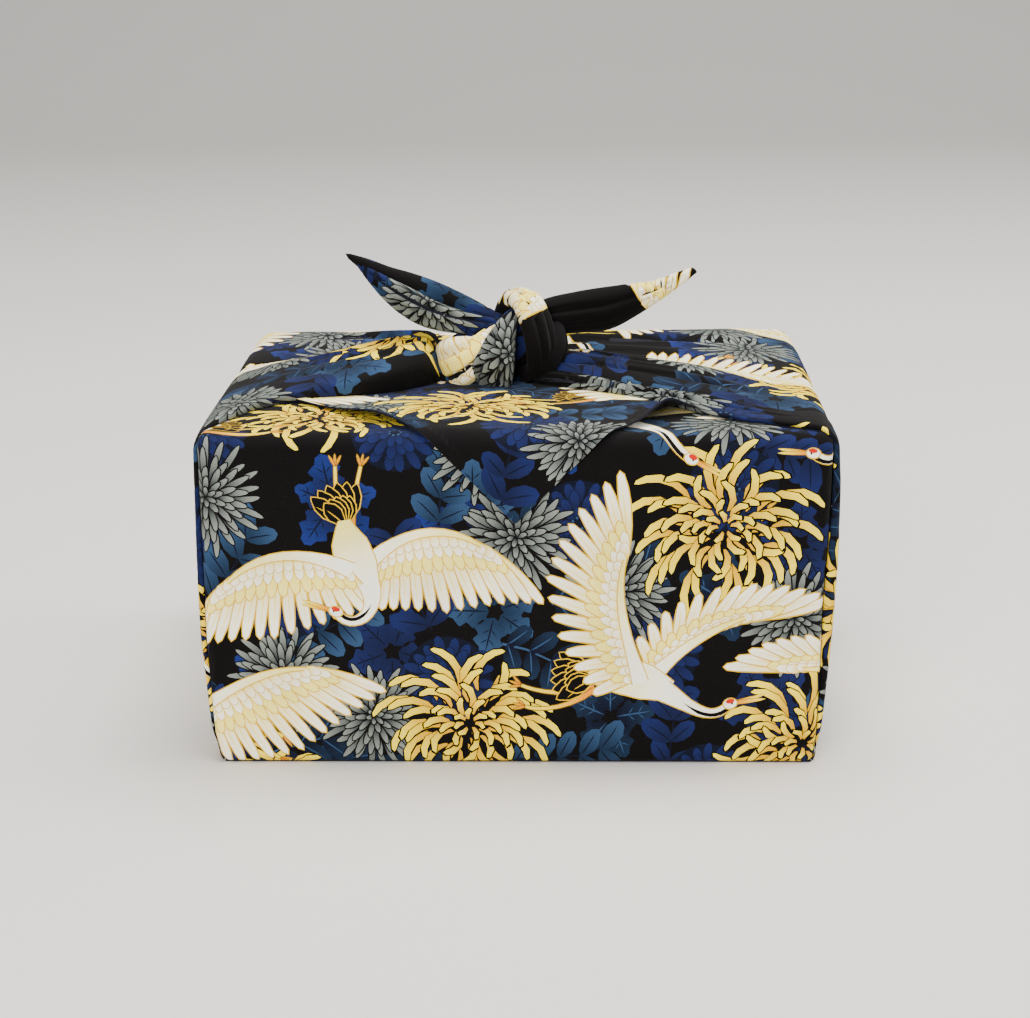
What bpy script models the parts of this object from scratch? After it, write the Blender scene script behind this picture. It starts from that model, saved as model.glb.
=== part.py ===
"""Furoshiki wrap: one square of printed cotton folded round a box shape and knotted on top.

The cloth and what it encloses are one filled solid. Sizes are in millimetres and become metres
when a mesh is written. X is the width, Y runs from the front to the back, Z is up, and the
origin is at the middle of the base, on the surface that the wrap stands on.
"""

import math

import bmesh
import bpy
import numpy as np

MM = 0.001

# Driving dimensions of the wrapped body.
HALF_WIDTH = 90.0
HALF_WIDTH_BASE = 88.0
HALF_DEPTH = 77.5
HEIGHT = 98.0

# Radii of the cloth over the edges of the body.
TOP_EDGE_RADIUS = 5.0
UPRIGHT_EDGE_RADIUS = 2.4
BASE_EDGE_RADIUS = 2.0
EDGE_SEGMENTS = 3

# The side cloth swells past the fold edge of the front and back panels.
LEFT_SWELL = 2.6
RIGHT_SWELL = 4.2
FOLD_LINE_INSET = 3.8
FOLD_LINE_DEPTH = 0.9
BASE_TUCK = 1.8
BASE_TUCK_HEIGHT = 10.0

# Upright creases that run down each side panel from the gathered band.
SIDE_PLEAT_Y = (-44.0, -12.0, 22.0, 50.0)
SIDE_PLEAT_DEPTH = 1.3
SIDE_PLEAT_WIDTH = 5.0
SIDE_PLEAT_REACH = 60.0

# Planes that cut the body into a grid, so that its faces can bend.
GRID_X = (-72.0, -48.0, -24.0, 0.0, 24.0, 48.0, 72.0)
GRID_Y = (-73.0, -57.0, -49.0, -44.0, -39.0, -28.0, -17.0, -12.0, -7.0, 5.0, 17.0, 22.0, 27.0, 38.0,
          45.0, 50.0, 55.0, 64.0, 73.0)
GRID_Z = (10.0, 28.0, 48.0, 68.0, 84.0)

# The corner of the cloth that lies over the top and hangs down the front.
FLAP_THICKNESS = 1.3
FLAP_SINK = 1.5
FLAP_DROP = 26.0
FLAP_COLUMNS = 11
FLAP_REACH = 87.0
# The flap's rows on the top. y is the place along it, left and right are the reach of its edges.
FLAP_TOP = (
    # y, left, right
    (72.5, FLAP_REACH, FLAP_REACH),
    (10.0, FLAP_REACH, FLAP_REACH),
    (-10.0, 85.0, 84.0),
    (-20.0, 73.0, 80.0),
    (-28.0, 63.0, 72.0),
    (-36.0, 54.0, 61.0),
    (-43.0, 47.0, 51.0),
    (-47.0, 44.0, 45.0),
    (-50.0, 42.0, 39.5),
    (-54.0, 40.0, 36.0),
    (-62.0, 36.0, 34.0),
    (-72.5, 31.5, 32.0),
)
# The pucker where the flap stands off the cloth below it, in front of the right band.
PUCKER_X = 45.0
PUCKER_Y = -47.0
PUCKER_SPREAD_X = 8.0
PUCKER_SPREAD_Y = 7.0
PUCKER_HEIGHT = 3.6

# The gathered bands run from the side edges to the knot. Each row is a section across the band
# at x: the y of its valleys from the front edge v0 on, and the height of the crest between them.
BAND_FLOOR = 94.0
BAND_SINK = 0.6
LEFT_BAND = (
    # x, v0, crest_0, v1, crest_1, v2
    (-90.6, -72.0, 94.6, 16.0, 94.6, 71.0),
    (-88.6, -74.0, 98.8, 16.0, 98.8, 72.0),
    (-85.0, -70.0, 101.4, 16.0, 101.2, 70.0),
    (-78.0, -52.0, 104.2, 15.0, 103.4, 64.0),
    (-70.0, -42.0, 105.8, 12.0, 105.0, 57.0),
    (-60.0, -36.0, 107.4, 9.0, 106.0, 50.0),
    (-46.0, -31.0, 109.6, 7.0, 107.2, 42.0),
    (-35.0, -23.0, 111.6, 8.0, 108.2, 36.0),
    (-27.0, -14.0, 112.6, 8.0, 109.0, 28.0),
    (-18.0, -8.0, 110.0, 6.0, 108.0, 18.0),
)
RIGHT_BAND = (
    # x, v0, crest_0, v1, crest_1, v2, crest_2, v3
    (91.4, -72.0, 94.6, -27.0, 94.6, 6.0, 94.6, 71.0),
    (89.2, -75.0, 98.8, -26.0, 98.8, 6.0, 98.8, 72.0),
    (85.0, -73.0, 101.2, -24.0, 101.8, 6.0, 102.4, 70.0),
    (73.0, -67.0, 103.0, -22.0, 105.0, 5.0, 105.2, 62.0),
    (60.0, -60.0, 103.6, -20.0, 106.8, 4.0, 106.4, 56.0),
    (46.0, -45.0, 104.8, -17.0, 109.2, 3.0, 107.6, 48.0),
    (30.0, -29.0, 107.0, -14.0, 112.0, 5.0, 109.2, 42.0),
    (16.0, -20.0, 108.4, -11.0, 113.0, 3.0, 110.0, 32.0),
    (4.0, -12.0, 108.0, -8.0, 112.0, 2.0, 109.0, 20.0),
)
CREST_PLACE = 0.78
CREST_FRONT_POWER = 1.7
CREST_BACK_POWER = 2.2
VALLEY_SHARE = 0.55
LOBE_POINTS = 9
BAND_STATIONS = 20

# Strands of the knot: a route, the half width across the cloth and the half thickness.
KNOT_CENTRE = (-3.0, 0.0, 110.0)
KNOT_CORE = (
    # x, y, z, half_width, half_thickness
    (-24.0, 3.0, 105.0, 6.0, 7.0),
    (-12.0, 1.0, 108.0, 10.0, 10.0),
    (-2.0, 0.0, 109.0, 10.5, 11.0),
    (8.0, 1.0, 109.0, 7.0, 8.0),
)
KNOT_LEFT_PLEATS = (
    # x, y, z, half_width, half_thickness
    (-17.0, 8.0, 100.0, 6.0, 3.0),
    (-21.5, -1.0, 103.0, 7.0, 4.0),
    (-18.5, -9.5, 105.5, 7.5, 4.5),
    (-12.0, -12.0, 109.5, 6.0, 4.0),
    (-7.0, -8.5, 114.5, 4.5, 3.5),
    (-3.0, 0.0, 118.0, 4.0, 3.0),
)
KNOT_FRONT_WRAP = (
    # x, y, z, half_width, half_thickness
    (-6.0, 4.0, 99.5, 6.0, 2.5),
    (-8.0, -9.5, 100.5, 6.5, 3.2),
    (-7.0, -13.5, 106.5, 6.5, 3.6),
    (-4.5, -10.5, 114.0, 5.0, 3.4),
    (-1.5, -4.5, 121.0, 5.5, 3.4),
    (2.0, 3.0, 124.6, 6.5, 3.4),
    (5.0, 9.5, 119.0, 6.0, 3.2),
    (6.0, 12.0, 110.0, 5.5, 3.0),
    (4.0, 9.0, 101.0, 5.0, 2.5),
)
KNOT_RIGHT_WRAP = (
    # x, y, z, half_width, half_thickness
    (0.0, -7.0, 101.0, 5.0, 3.0),
    (3.5, -10.0, 106.0, 5.5, 3.6),
    (6.0, -8.5, 113.0, 6.0, 3.8),
    (6.5, -3.0, 118.5, 6.0, 3.8),
    (6.0, 4.0, 119.5, 5.0, 3.4),
)

# Tails: a centre line, half height of the folded cloth and half thickness.
LEFT_TAIL = (
    # x, y, z, half_height, half_thickness
    (-2.0, 0.0, 117.0, 3.0, 4.0),
    (-11.0, 1.0, 119.5, 4.6, 4.5),
    (-20.0, 1.0, 121.4, 7.6, 4.8),
    (-29.0, 0.0, 123.6, 8.4, 4.6),
    (-37.0, 0.5, 126.6, 7.0, 3.8),
    (-45.0, 2.0, 131.2, 4.9, 2.8),
    (-51.0, 3.5, 135.2, 2.9, 1.9),
    (-55.2, 4.6, 138.6, 0.6, 0.7),
)
RIGHT_TAIL = (
    # x, y, z, half_height, half_thickness
    (1.0, 0.0, 114.0, 4.5, 4.5),
    (9.0, 0.0, 116.8, 5.8, 5.0),
    (18.0, 1.0, 118.6, 6.6, 4.8),
    (27.0, 2.0, 120.6, 6.4, 4.4),
    (36.0, 3.0, 123.6, 4.6, 3.6),
    (44.0, 4.0, 127.6, 2.8, 2.6),
    (50.0, 5.0, 131.0, 1.8, 1.8),
    (54.4, 6.0, 134.0, 0.6, 0.7),
)
STRAND_RING = 14
STRAND_STATIONS = 16
TAIL_STATIONS = 14
STRAND_SECTION_POWER = 0.85
TAIL_SECTION_POWER = 1.0

CLOTH_COLOUR = (0.030, 0.036, 0.090, 1.0)
CLOTH_ROUGHNESS = 0.8


def smooth_rows(rows, count):
    """Pass a Catmull-Rom curve through the rows of a table and read it at even steps."""
    table = np.asarray(rows, dtype=float)
    first = 2.0 * table[0] - table[1]
    last = 2.0 * table[-1] - table[-2]
    padded = np.vstack([first, table, last])
    place = np.linspace(0.0, len(table) - 1.0, count)
    index = np.minimum(place.astype(int), len(table) - 2)
    t = (place - index)[:, None]
    p0 = padded[index]
    p1 = padded[index + 1]
    p2 = padded[index + 2]
    p3 = padded[index + 3]
    return 0.5 * (2.0 * p1 + (p2 - p0) * t + (2.0 * p0 - 5.0 * p1 + 4.0 * p2 - p3) * t ** 2
                  + (3.0 * p1 - p0 - 3.0 * p2 + p3) * t ** 3)


def loft(name, rings):
    """Join closed rings of equal point count into one closed mesh with end caps."""
    rings = np.asarray(rings)
    stations, around, _ = rings.shape
    index = np.arange(stations * around).reshape(stations, around)
    step = np.roll(index, -1, axis=1)
    quads = np.stack([index[:-1], step[:-1], step[1:], index[1:]], axis=-1).reshape(-1, 4)
    faces = quads.tolist()
    faces.append(index[0, ::-1].tolist())
    faces.append(index[-1].tolist())
    mesh = bpy.data.meshes.new(name)
    mesh.from_pydata((rings.reshape(-1, 3) * MM).tolist(), [], faces)
    bm = bmesh.new()
    bm.from_mesh(mesh)
    bmesh.ops.recalc_face_normals(bm, faces=bm.faces)
    bmesh.ops.triangulate(bm, faces=bm.faces)
    bm.to_mesh(mesh)
    bm.free()
    return bpy.data.objects.new(name, mesh)


def signed_power(values, power):
    """Raise the size of each value to a power and keep its sign."""
    return np.sign(values) * np.abs(values) ** power


def side_reach(y, z, swell):
    """Half width of the body at a place on its side: a straight taper, a tuck at the base and a swell."""
    rise = min(max(z / HEIGHT, 0.0), 1.0)
    edge = HALF_WIDTH_BASE + (HALF_WIDTH - HALF_WIDTH_BASE) * rise
    tuck = BASE_TUCK * max(1.0 - z / BASE_TUCK_HEIGHT, 0.0) ** 2
    across = max(1.0 - abs(y / (HALF_DEPTH - FOLD_LINE_INSET)) ** 6, 0.0)
    upward = (4.0 * rise * (1.0 - rise)) ** 0.45
    pleats = sum(math.exp(-((y - place) / SIDE_PLEAT_WIDTH) ** 2) for place in SIDE_PLEAT_Y)
    fade = min(max((z - HEIGHT + SIDE_PLEAT_REACH) / SIDE_PLEAT_REACH, 0.0), 1.0)
    fold = FOLD_LINE_DEPTH * math.exp(-((abs(y) - HALF_DEPTH + FOLD_LINE_INSET) / 1.2) ** 2)
    return edge - tuck + swell * across * upward - SIDE_PLEAT_DEPTH * pleats * fade - fold


def make_body():
    """The box shape: a cube with rounded edges, cut into a grid whose side points are moved out."""
    bpy.ops.mesh.primitive_cube_add(size=1.0, location=(0.0, 0.0, 0.5 * HEIGHT * MM))
    body = bpy.context.object
    body.name = "wrap"
    body.data.name = "wrap"
    body.scale = (2.0 * HALF_WIDTH * MM, 2.0 * HALF_DEPTH * MM, HEIGHT * MM)
    bpy.ops.object.transform_apply(location=True, rotation=True, scale=True)
    bm = bmesh.new()
    bm.from_mesh(body.data)
    round_edges(bm, UPRIGHT_EDGE_RADIUS, lambda a, b: abs(a.z - b.z) > 0.5 * HEIGHT * MM)
    round_edges(bm, TOP_EDGE_RADIUS, lambda a, b: min(a.z, b.z) > (HEIGHT - 0.1) * MM)
    round_edges(bm, BASE_EDGE_RADIUS, lambda a, b: max(a.z, b.z) < 0.1 * MM)
    for axis, places in enumerate((GRID_X, GRID_Y, GRID_Z)):
        normal = [0.0, 0.0, 0.0]
        normal[axis] = 1.0
        for place in places:
            geometry = bm.verts[:] + bm.edges[:] + bm.faces[:]
            point = [value * place * MM for value in normal]
            bmesh.ops.bisect_plane(bm, geom=geometry, plane_co=point, plane_no=normal, dist=1e-6)
    for vert in bm.verts:
        swell = RIGHT_SWELL if vert.co.x > 0.0 else LEFT_SWELL
        reach = side_reach(vert.co.y / MM, vert.co.z / MM, swell)
        vert.co.x *= reach / HALF_WIDTH
    bmesh.ops.triangulate(bm, faces=bm.faces)
    bm.to_mesh(body.data)
    bm.free()
    return body


def round_edges(bm, radius, belongs):
    """Round the edges that a test on their two ends picks out."""
    edges = [edge for edge in bm.edges if belongs(edge.verts[0].co, edge.verts[1].co)
             and edge.calc_face_angle(0.0) > math.radians(20.0)]
    bmesh.ops.bevel(bm, geom=edges, offset=radius * MM, segments=EDGE_SEGMENTS, profile=0.5,
                    affect="EDGES", clamp_overlap=True)


def flap_stations():
    """Places along the flap: (y, z, normal y, normal z, left reach, right reach, thickness).

    It leaves the back panel at the back edge, crosses the top and hangs down the front.
    """
    stations = []
    centre_y = HALF_DEPTH - TOP_EDGE_RADIUS
    centre_z = HEIGHT - TOP_EDGE_RADIUS
    for turn, share in ((80.0, -0.3), (60.0, 0.2), (30.0, 0.7)):
        angle = math.radians(turn)
        stations.append((centre_y + TOP_EDGE_RADIUS * math.sin(angle),
                         centre_z + TOP_EDGE_RADIUS * math.cos(angle),
                         math.sin(angle), math.cos(angle), FLAP_REACH, FLAP_REACH,
                         share * FLAP_THICKNESS))
    for y, left, right in FLAP_TOP:
        stations.append((y, HEIGHT, 0.0, 1.0, left, right, FLAP_THICKNESS))
    _, left, right = FLAP_TOP[-1]
    for turn in (30.0, 60.0, 90.0):
        angle = math.radians(turn)
        narrow = turn / 90.0 * TOP_EDGE_RADIUS
        stations.append((-centre_y - TOP_EDGE_RADIUS * math.sin(angle),
                         centre_z + TOP_EDGE_RADIUS * math.cos(angle),
                         -math.sin(angle), math.cos(angle), left - narrow, right - narrow,
                         FLAP_THICKNESS))
    left -= TOP_EDGE_RADIUS
    right -= TOP_EDGE_RADIUS
    drop = FLAP_DROP - TOP_EDGE_RADIUS
    for share in (0.25, 0.5, 0.75, 0.98):
        stations.append((-HALF_DEPTH, centre_z - drop * share, -1.0, 0.0,
                         left * (1.0 - share), right * (1.0 - share), FLAP_THICKNESS))
    return stations


def make_flap():
    """The corner of the cloth over the top: a slab whose rows narrow towards a square tip."""
    rings = []
    across = np.linspace(-1.0, 1.0, FLAP_COLUMNS)
    for y, z, normal_y, normal_z, left, right, thickness in flap_stations():
        x = np.where(across < 0.0, across * left, across * right)
        pucker = PUCKER_HEIGHT * normal_z * np.exp(-((x - PUCKER_X) / PUCKER_SPREAD_X) ** 2
                                                   - ((y - PUCKER_Y) / PUCKER_SPREAD_Y) ** 2)
        outer = thickness + pucker
        upper = np.stack([x, y + normal_y * outer, z + normal_z * outer], axis=-1)
        lower = np.stack([x, np.full_like(x, y - normal_y * FLAP_SINK),
                          np.full_like(x, z - normal_z * FLAP_SINK)], axis=-1)
        rings.append(np.vstack([upper, lower[::-1]]))
    return loft("flap", rings)


def lobe(start, crest, end, start_height, end_height):
    """One roll of a band: a rounded rise from a valley to its crest and a short fall behind it."""
    t = 0.5 - 0.5 * np.cos(np.linspace(0.0, math.pi, LOBE_POINTS))
    front = np.clip(1.0 - t / CREST_PLACE, 0.0, 1.0)
    back = np.clip((t - CREST_PLACE) / (1.0 - CREST_PLACE), 0.0, 1.0)
    rise = np.where(t < CREST_PLACE,
                    (1.0 - front ** CREST_FRONT_POWER) ** (1.0 / CREST_FRONT_POWER),
                    (1.0 - back ** CREST_BACK_POWER) ** (1.0 / CREST_BACK_POWER))
    floor = start_height + (end_height - start_height) * t
    level = start_height + (end_height - start_height) * CREST_PLACE
    return start + (end - start) * t, floor + (crest - level) * rise


def make_band(name, rows):
    """A gathered band: sections of rounded rolls side by side, lofted from the side to the knot."""
    rings = []
    for row in smooth_rows(rows, BAND_STATIONS):
        x = row[0]
        valleys = row[1::2]
        crests = row[2::2]
        base = min(HEIGHT - BAND_SINK, crests.min() - BAND_SINK)
        heights = [base]
        for low, high in zip(crests[:-1], crests[1:]):
            heights.append(base + VALLEY_SHARE * (min(low, high) - base))
        heights.append(base)
        ys = []
        zs = []
        for number, crest in enumerate(crests):
            y, z = lobe(valleys[number], crest, valleys[number + 1], heights[number],
                        heights[number + 1])
            keep = slice(0, None) if number == len(crests) - 1 else slice(0, -1)
            ys.append(y[keep])
            zs.append(z[keep])
        y = np.concatenate(ys + [[valleys[-1], valleys[0]]])
        floor = min(BAND_FLOOR, base - 3.0)
        z = np.concatenate(zs + [[floor, floor]])
        rings.append(np.stack([np.full_like(y, x), y, z], axis=-1))
    return loft(name, rings)


def make_strand(name, rows, stations, power, up=None):
    """A flattened strand of cloth: rounded sections carried along a smooth route.

    The thickness points away from the knot's centre, or the width follows the direction given.
    """
    table = smooth_rows(rows, stations)
    points = table[:, :3]
    tangents = np.gradient(points, axis=0)
    tangents /= np.linalg.norm(tangents, axis=1)[:, None]
    angle = np.linspace(0.0, 2.0 * math.pi, STRAND_RING, endpoint=False)
    across = signed_power(np.cos(angle), power)
    through = signed_power(np.sin(angle), power)
    rings = []
    for point, tangent, width, thickness in zip(points, tangents, table[:, 3], table[:, 4]):
        if up is None:
            outward = point - np.array(KNOT_CENTRE)
            side = np.cross(tangent, outward)
        else:
            side = np.array(up) - tangent * np.dot(up, tangent)
        side /= np.linalg.norm(side)
        normal = np.cross(side, tangent)
        rings.append(point + across[:, None] * side * width + through[:, None] * normal * thickness)
    return loft(name, rings)


def cloth_material():
    """The printed cotton, shown by its mean colour."""
    material = bpy.data.materials.new("printed_cotton")
    material.use_nodes = True
    shader = material.node_tree.nodes["Principled BSDF"]
    shader.inputs["Base Color"].default_value = CLOTH_COLOUR
    shader.inputs["Roughness"].default_value = CLOTH_ROUGHNESS
    shader.inputs["Metallic"].default_value = 0.0
    return material


def join_cloth(body, pieces, guides):
    """Union each folded piece with the body, so that the wrap is one solid."""
    for piece in pieces:
        guides.objects.link(piece)
        piece.hide_render = True
        piece.display_type = "WIRE"
        modifier = body.modifiers.new("join_" + piece.name, "BOOLEAN")
        modifier.operation = "UNION"
        modifier.solver = "EXACT"
        modifier.object = piece


def main():
    """Clear the scene, model the wrap and put it in its collection."""
    for item in list(bpy.data.objects):
        bpy.data.objects.remove(item, do_unlink=True)
    wrap_collection = bpy.data.collections.new("furoshiki_wrap")
    guides = bpy.data.collections.new("folded_pieces")
    bpy.context.scene.collection.children.link(wrap_collection)
    bpy.context.scene.collection.children.link(guides)

    body = make_body()
    for owner in list(body.users_collection):
        owner.objects.unlink(body)
    wrap_collection.objects.link(body)
    body.data.materials.clear()
    body.data.materials.append(cloth_material())

    upright = (0.0, 0.0, 1.0)
    pieces = [
        make_flap(),
        make_band("left_band", LEFT_BAND),
        make_band("right_band", RIGHT_BAND),
        make_strand("knot_core", KNOT_CORE, STRAND_STATIONS, STRAND_SECTION_POWER, upright),
        make_strand("knot_left_pleats", KNOT_LEFT_PLEATS, STRAND_STATIONS, STRAND_SECTION_POWER),
        make_strand("knot_right_wrap", KNOT_RIGHT_WRAP, STRAND_STATIONS, STRAND_SECTION_POWER),
        make_strand("knot_front_wrap", KNOT_FRONT_WRAP, STRAND_STATIONS, STRAND_SECTION_POWER),
        make_strand("left_tail", LEFT_TAIL, TAIL_STATIONS, TAIL_SECTION_POWER, upright),
        make_strand("right_tail", RIGHT_TAIL, TAIL_STATIONS, TAIL_SECTION_POWER, upright),
    ]
    join_cloth(body, pieces, guides)


main()
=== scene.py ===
"""Looks of the furoshiki wrap: printed cotton panels, gathered bands, knot and tails.

Every length inside the classes is in millimetres and becomes metres when a mesh is written.
X is the width, Y runs from the front to the back and Z is up, as in the model that is dressed.

The cloth is one square. Its flat place is (p, q) in millimetres from its middle, which lies
under the wrap: the front panel runs towards +q, the back panel towards -q, the left side
towards -p and the right side towards +p. The print is drawn once in (p, q), and each stretch
of cloth is cut out of it, so the motifs follow the folds.
"""
from __future__ import annotations

import logging
import math
from dataclasses import dataclass, field
from enum import Enum

import bpy
import numpy as np
from mathutils import Matrix, Vector
from mathutils.geometry import delaunay_2d_cdt


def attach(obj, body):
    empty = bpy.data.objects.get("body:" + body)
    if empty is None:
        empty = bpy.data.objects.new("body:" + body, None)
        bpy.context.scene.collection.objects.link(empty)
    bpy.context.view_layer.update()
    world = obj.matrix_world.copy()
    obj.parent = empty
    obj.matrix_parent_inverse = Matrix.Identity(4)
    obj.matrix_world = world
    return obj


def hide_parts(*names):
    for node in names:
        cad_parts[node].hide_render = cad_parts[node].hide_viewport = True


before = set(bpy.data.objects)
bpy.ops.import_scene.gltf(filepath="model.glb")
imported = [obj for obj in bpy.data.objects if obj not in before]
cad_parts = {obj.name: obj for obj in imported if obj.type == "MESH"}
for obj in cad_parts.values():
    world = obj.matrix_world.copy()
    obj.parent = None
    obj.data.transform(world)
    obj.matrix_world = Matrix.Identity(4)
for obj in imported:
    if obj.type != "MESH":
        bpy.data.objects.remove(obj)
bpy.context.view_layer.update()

Array = np.ndarray
MM = 0.001
NODE = "wrap"
BODY = "root"
SLOT = "printed_cotton"
CLOTH_THICKNESS = 0.5
QUARTER_TURN = 0.5 * math.pi
FULL_TURN = 2.0 * math.pi

# The body that the cloth lies on.
HALF_WIDTH = 90.0
BASE_HALF_WIDTH = 87.6
HALF_DEPTH = 77.5
HEIGHT = 98.0
TOP_RADIUS = 5.0
UPRIGHT_RADIUS = 2.4
BASE_RADIUS = 2.0
FLOOR_GAP = 0.15
CORNER_REACH = 360.0
LAYER_STEP = 1.0
BODY_CENTRE = np.array((0.0, 0.0, 0.5 * HEIGHT))

# Columns of the grids that shape the panels and the rolls, and points of a roll's quarter arcs.
PANEL_COLUMNS = 190
ROLL_COLUMNS = 56
ARC_POINTS = 34
TUCK_POINTS = 8

# Fullness and widest place of veins and shafts.
VEIN_SHAPE = (0.3, 0.6)

LOG = logging.getLogger("furoshiki")


class Ink(Enum):
    """Inks of the print and the bare ground, as display colours from 0 to 255."""

    GROUND = (8, 6, 6)
    REVERSE = (24, 24, 34)
    NAVY_DEEP = (11, 15, 31)
    NAVY = (17, 23, 52)
    BLUE = (23, 32, 76)
    BRIGHT_BLUE = (28, 42, 102)
    SLATE = (42, 66, 96)
    TEAL = (21, 37, 57)
    CREAM = (253, 236, 128)
    WHITE = (255, 251, 230)
    SHADE = (246, 216, 66)
    GOLD = (214, 158, 16)
    GOLD_PALE = (255, 226, 54)
    GOLD_DEEP = (112, 80, 8)
    LINE_GOLD = (214, 170, 22)
    ASH_PALE = (122, 128, 121)
    ASH_DEEP = (38, 43, 45)
    RED = (200, 28, 14)
    ORANGE = (230, 136, 10)

    def linear(self) -> Array:
        """Return the ink as scene-linear red, green and blue from 0 to 1."""
        value = np.array(self.value, dtype=float) / 255.0
        return np.where(value <= 0.04045, value / 12.92, ((value + 0.055) / 1.055) ** 2.4)


class Grain(Enum):
    """How a stretch of cloth lies on the print: rows give p and q from (along, across)."""

    UP_FRONT = ((0.0, 1.0), (1.0, 0.0))
    LEFT_OUT = ((-1.0, 0.0), (0.0, -1.0))
    RIGHT_OUT = ((1.0, 0.0), (0.0, -1.0))

    def matrix(self) -> Array:
        """Return the 2 x 2 matrix from (along, across) to (p, q)."""
        return np.array(self.value)


@dataclass(frozen=True)
class Patch:
    """A flat area of one ink run, with a gradient between two points.

    Attributes:
        outline: corners in millimetres, in order.
        root: ink at the start point.
        tip: ink at the end point.
        start: where the gradient starts.
        end: where it ends.
        gilt: share of metallic powder in the ink.
    """

    outline: Array
    root: Ink
    tip: Ink
    start: tuple[float, float] = (0.0, 0.0)
    end: tuple[float, float] = (1.0, 0.0)
    gilt: float = 0.0

    def moved(self, matrix: Array, shift: Array) -> Patch:
        """Return the patch after a linear map and a shift."""
        return Patch(self.outline @ matrix.T + shift, self.root, self.tip,
                     tuple(matrix @ np.array(self.start) + shift),
                     tuple(matrix @ np.array(self.end) + shift), self.gilt)


@dataclass(frozen=True)
class Placement:
    """Where a motif goes on the print.

    Attributes:
        patches: the motif's patches, in painting order.
        p: place to the right, in millimetres.
        q: place upwards.
        turn: turn in degrees, anticlockwise.
        size: scale.
        flip: mirrored left to right.
    """

    patches: tuple[Patch, ...]
    p: float
    q: float
    turn: float = 0.0
    size: float = 1.0
    flip: bool = False

    def placed(self) -> list[Patch]:
        """Return the patches moved to their place by a turn, a scale and a shift."""
        angle = math.radians(self.turn)
        turn = np.array(((math.cos(angle), -math.sin(angle)), (math.sin(angle), math.cos(angle))))
        matrix = turn @ np.diag((-self.size if self.flip else self.size, self.size))
        shift = np.array((self.p, self.q))
        return [patch.moved(matrix, shift) for patch in self.patches]


def unit(vectors: Array) -> Array:
    """Return the vectors of the last axis scaled to a length of one."""
    return vectors / np.maximum(np.linalg.norm(vectors, axis=-1, keepdims=True), 1e-9)


def signed_area(loop: Array) -> float:
    """Return the area inside a closed outline, negative if it runs clockwise (shoelace sum)."""
    after = np.roll(loop, -1, axis=0)
    return 0.5 * float(np.sum(loop[:, 0] * after[:, 1] - after[:, 0] * loop[:, 1]))


def bezier(points: tuple, place: Array) -> Array:
    """Return points of a cubic Bezier curve: (1-t)^3 a + 3t(1-t)^2 b + 3t^2(1-t) c + t^3 d.

    Args:
        points: the four control points.
        place: values of t from 0 to 1.

    Returns:
        One row of coordinates for each value.
    """
    a, b, c, d = np.asarray(points, dtype=float)
    t = np.atleast_1d(place)[:, None]
    return (1 - t) ** 3 * a + 3 * t * (1 - t) ** 2 * b + 3 * t**2 * (1 - t) * c + t**3 * d


@dataclass(frozen=True)
class Blade:
    """A petal or a feather: a bent centre line with a half width of sin(pi s^place)^fullness.

    Attributes:
        root: foot of the blade.
        heading: direction at the foot, in radians.
        length: length along the centre line.
        width: greatest width.
        bend: how far it turns from foot to tip, in radians.
        fullness: below 0.5 is blunt, above is pointed.
        place: below 1 the widest place is near the foot, above 1 near the tip.
        points: points along the centre line.
    """

    root: Array
    heading: float
    length: float
    width: float
    bend: float = 0.0
    fullness: float = 0.55
    place: float = 0.85
    points: int = 7

    def grown(self, line: float) -> Blade:
        """Return the blade with a line of the given width added all round."""
        back = np.array((math.cos(self.heading), math.sin(self.heading))) * line
        return Blade(self.root - back, self.heading, self.length + 2 * line, self.width + 2 * line,
                     self.bend, self.fullness, self.place, self.points)

    def lines(self) -> tuple[Array, Array]:
        """Return the outline and the centre line, summed from short steps along the heading."""
        s = 0.5 - 0.5 * np.cos(np.linspace(0.0, math.pi, self.points))
        heading = self.heading + self.bend * s
        middle = 0.5 * (heading[1:] + heading[:-1])
        step = self.length * np.diff(s)
        centre = np.zeros((self.points, 2))
        centre[1:, 0] = np.cumsum(np.cos(middle) * step)
        centre[1:, 1] = np.cumsum(np.sin(middle) * step)
        centre += self.root
        half = 0.5 * self.width * np.sin(math.pi * s**self.place) ** self.fullness
        side = np.stack([-np.sin(heading), np.cos(heading)], axis=1) * half[:, None]
        return np.vstack([(centre + side)[:-1], centre[-1:], (centre - side)[-2:0:-1]]), centre

    def patch(self, root: Ink, tip: Ink, gilt: float = 0.0) -> Patch:
        """Return the blade filled with a gradient from its foot to its tip."""
        outline, centre = self.lines()
        return Patch(outline, root, tip, tuple(centre[0]), tuple(centre[-1]), gilt)

    def lined(self, root: Ink, tip: Ink, edge: Ink, line: float, gilt: float = 0.0,
              edge_gilt: float = 0.0) -> list[Patch]:
        """Return the blade over a slightly larger one of the edge's ink.

        Args:
            root: ink at the foot.
            tip: ink at the tip.
            edge: ink of the line round it.
            line: width of that line.
            gilt: metallic share of the fill.
            edge_gilt: metallic share of the line.

        Returns:
            The two patches, the larger one first.
        """
        return [self.grown(line).patch(edge, edge, edge_gilt), self.patch(root, tip, gilt)]


def vein(root: Array, heading: float, length: float, width: float, points: int,
         bend: float = 0.0) -> Blade:
    """Return a thin blade for a leaf's vein or a feather's shaft.

    Args:
        root: its foot.
        heading: direction at the foot, in radians.
        length: its length.
        width: its greatest width.
        points: points along it.
        bend: how far it turns, in radians.

    Returns:
        The blade.
    """
    return Blade(root, heading, length, width, bend, *VEIN_SHAPE, points)


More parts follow.
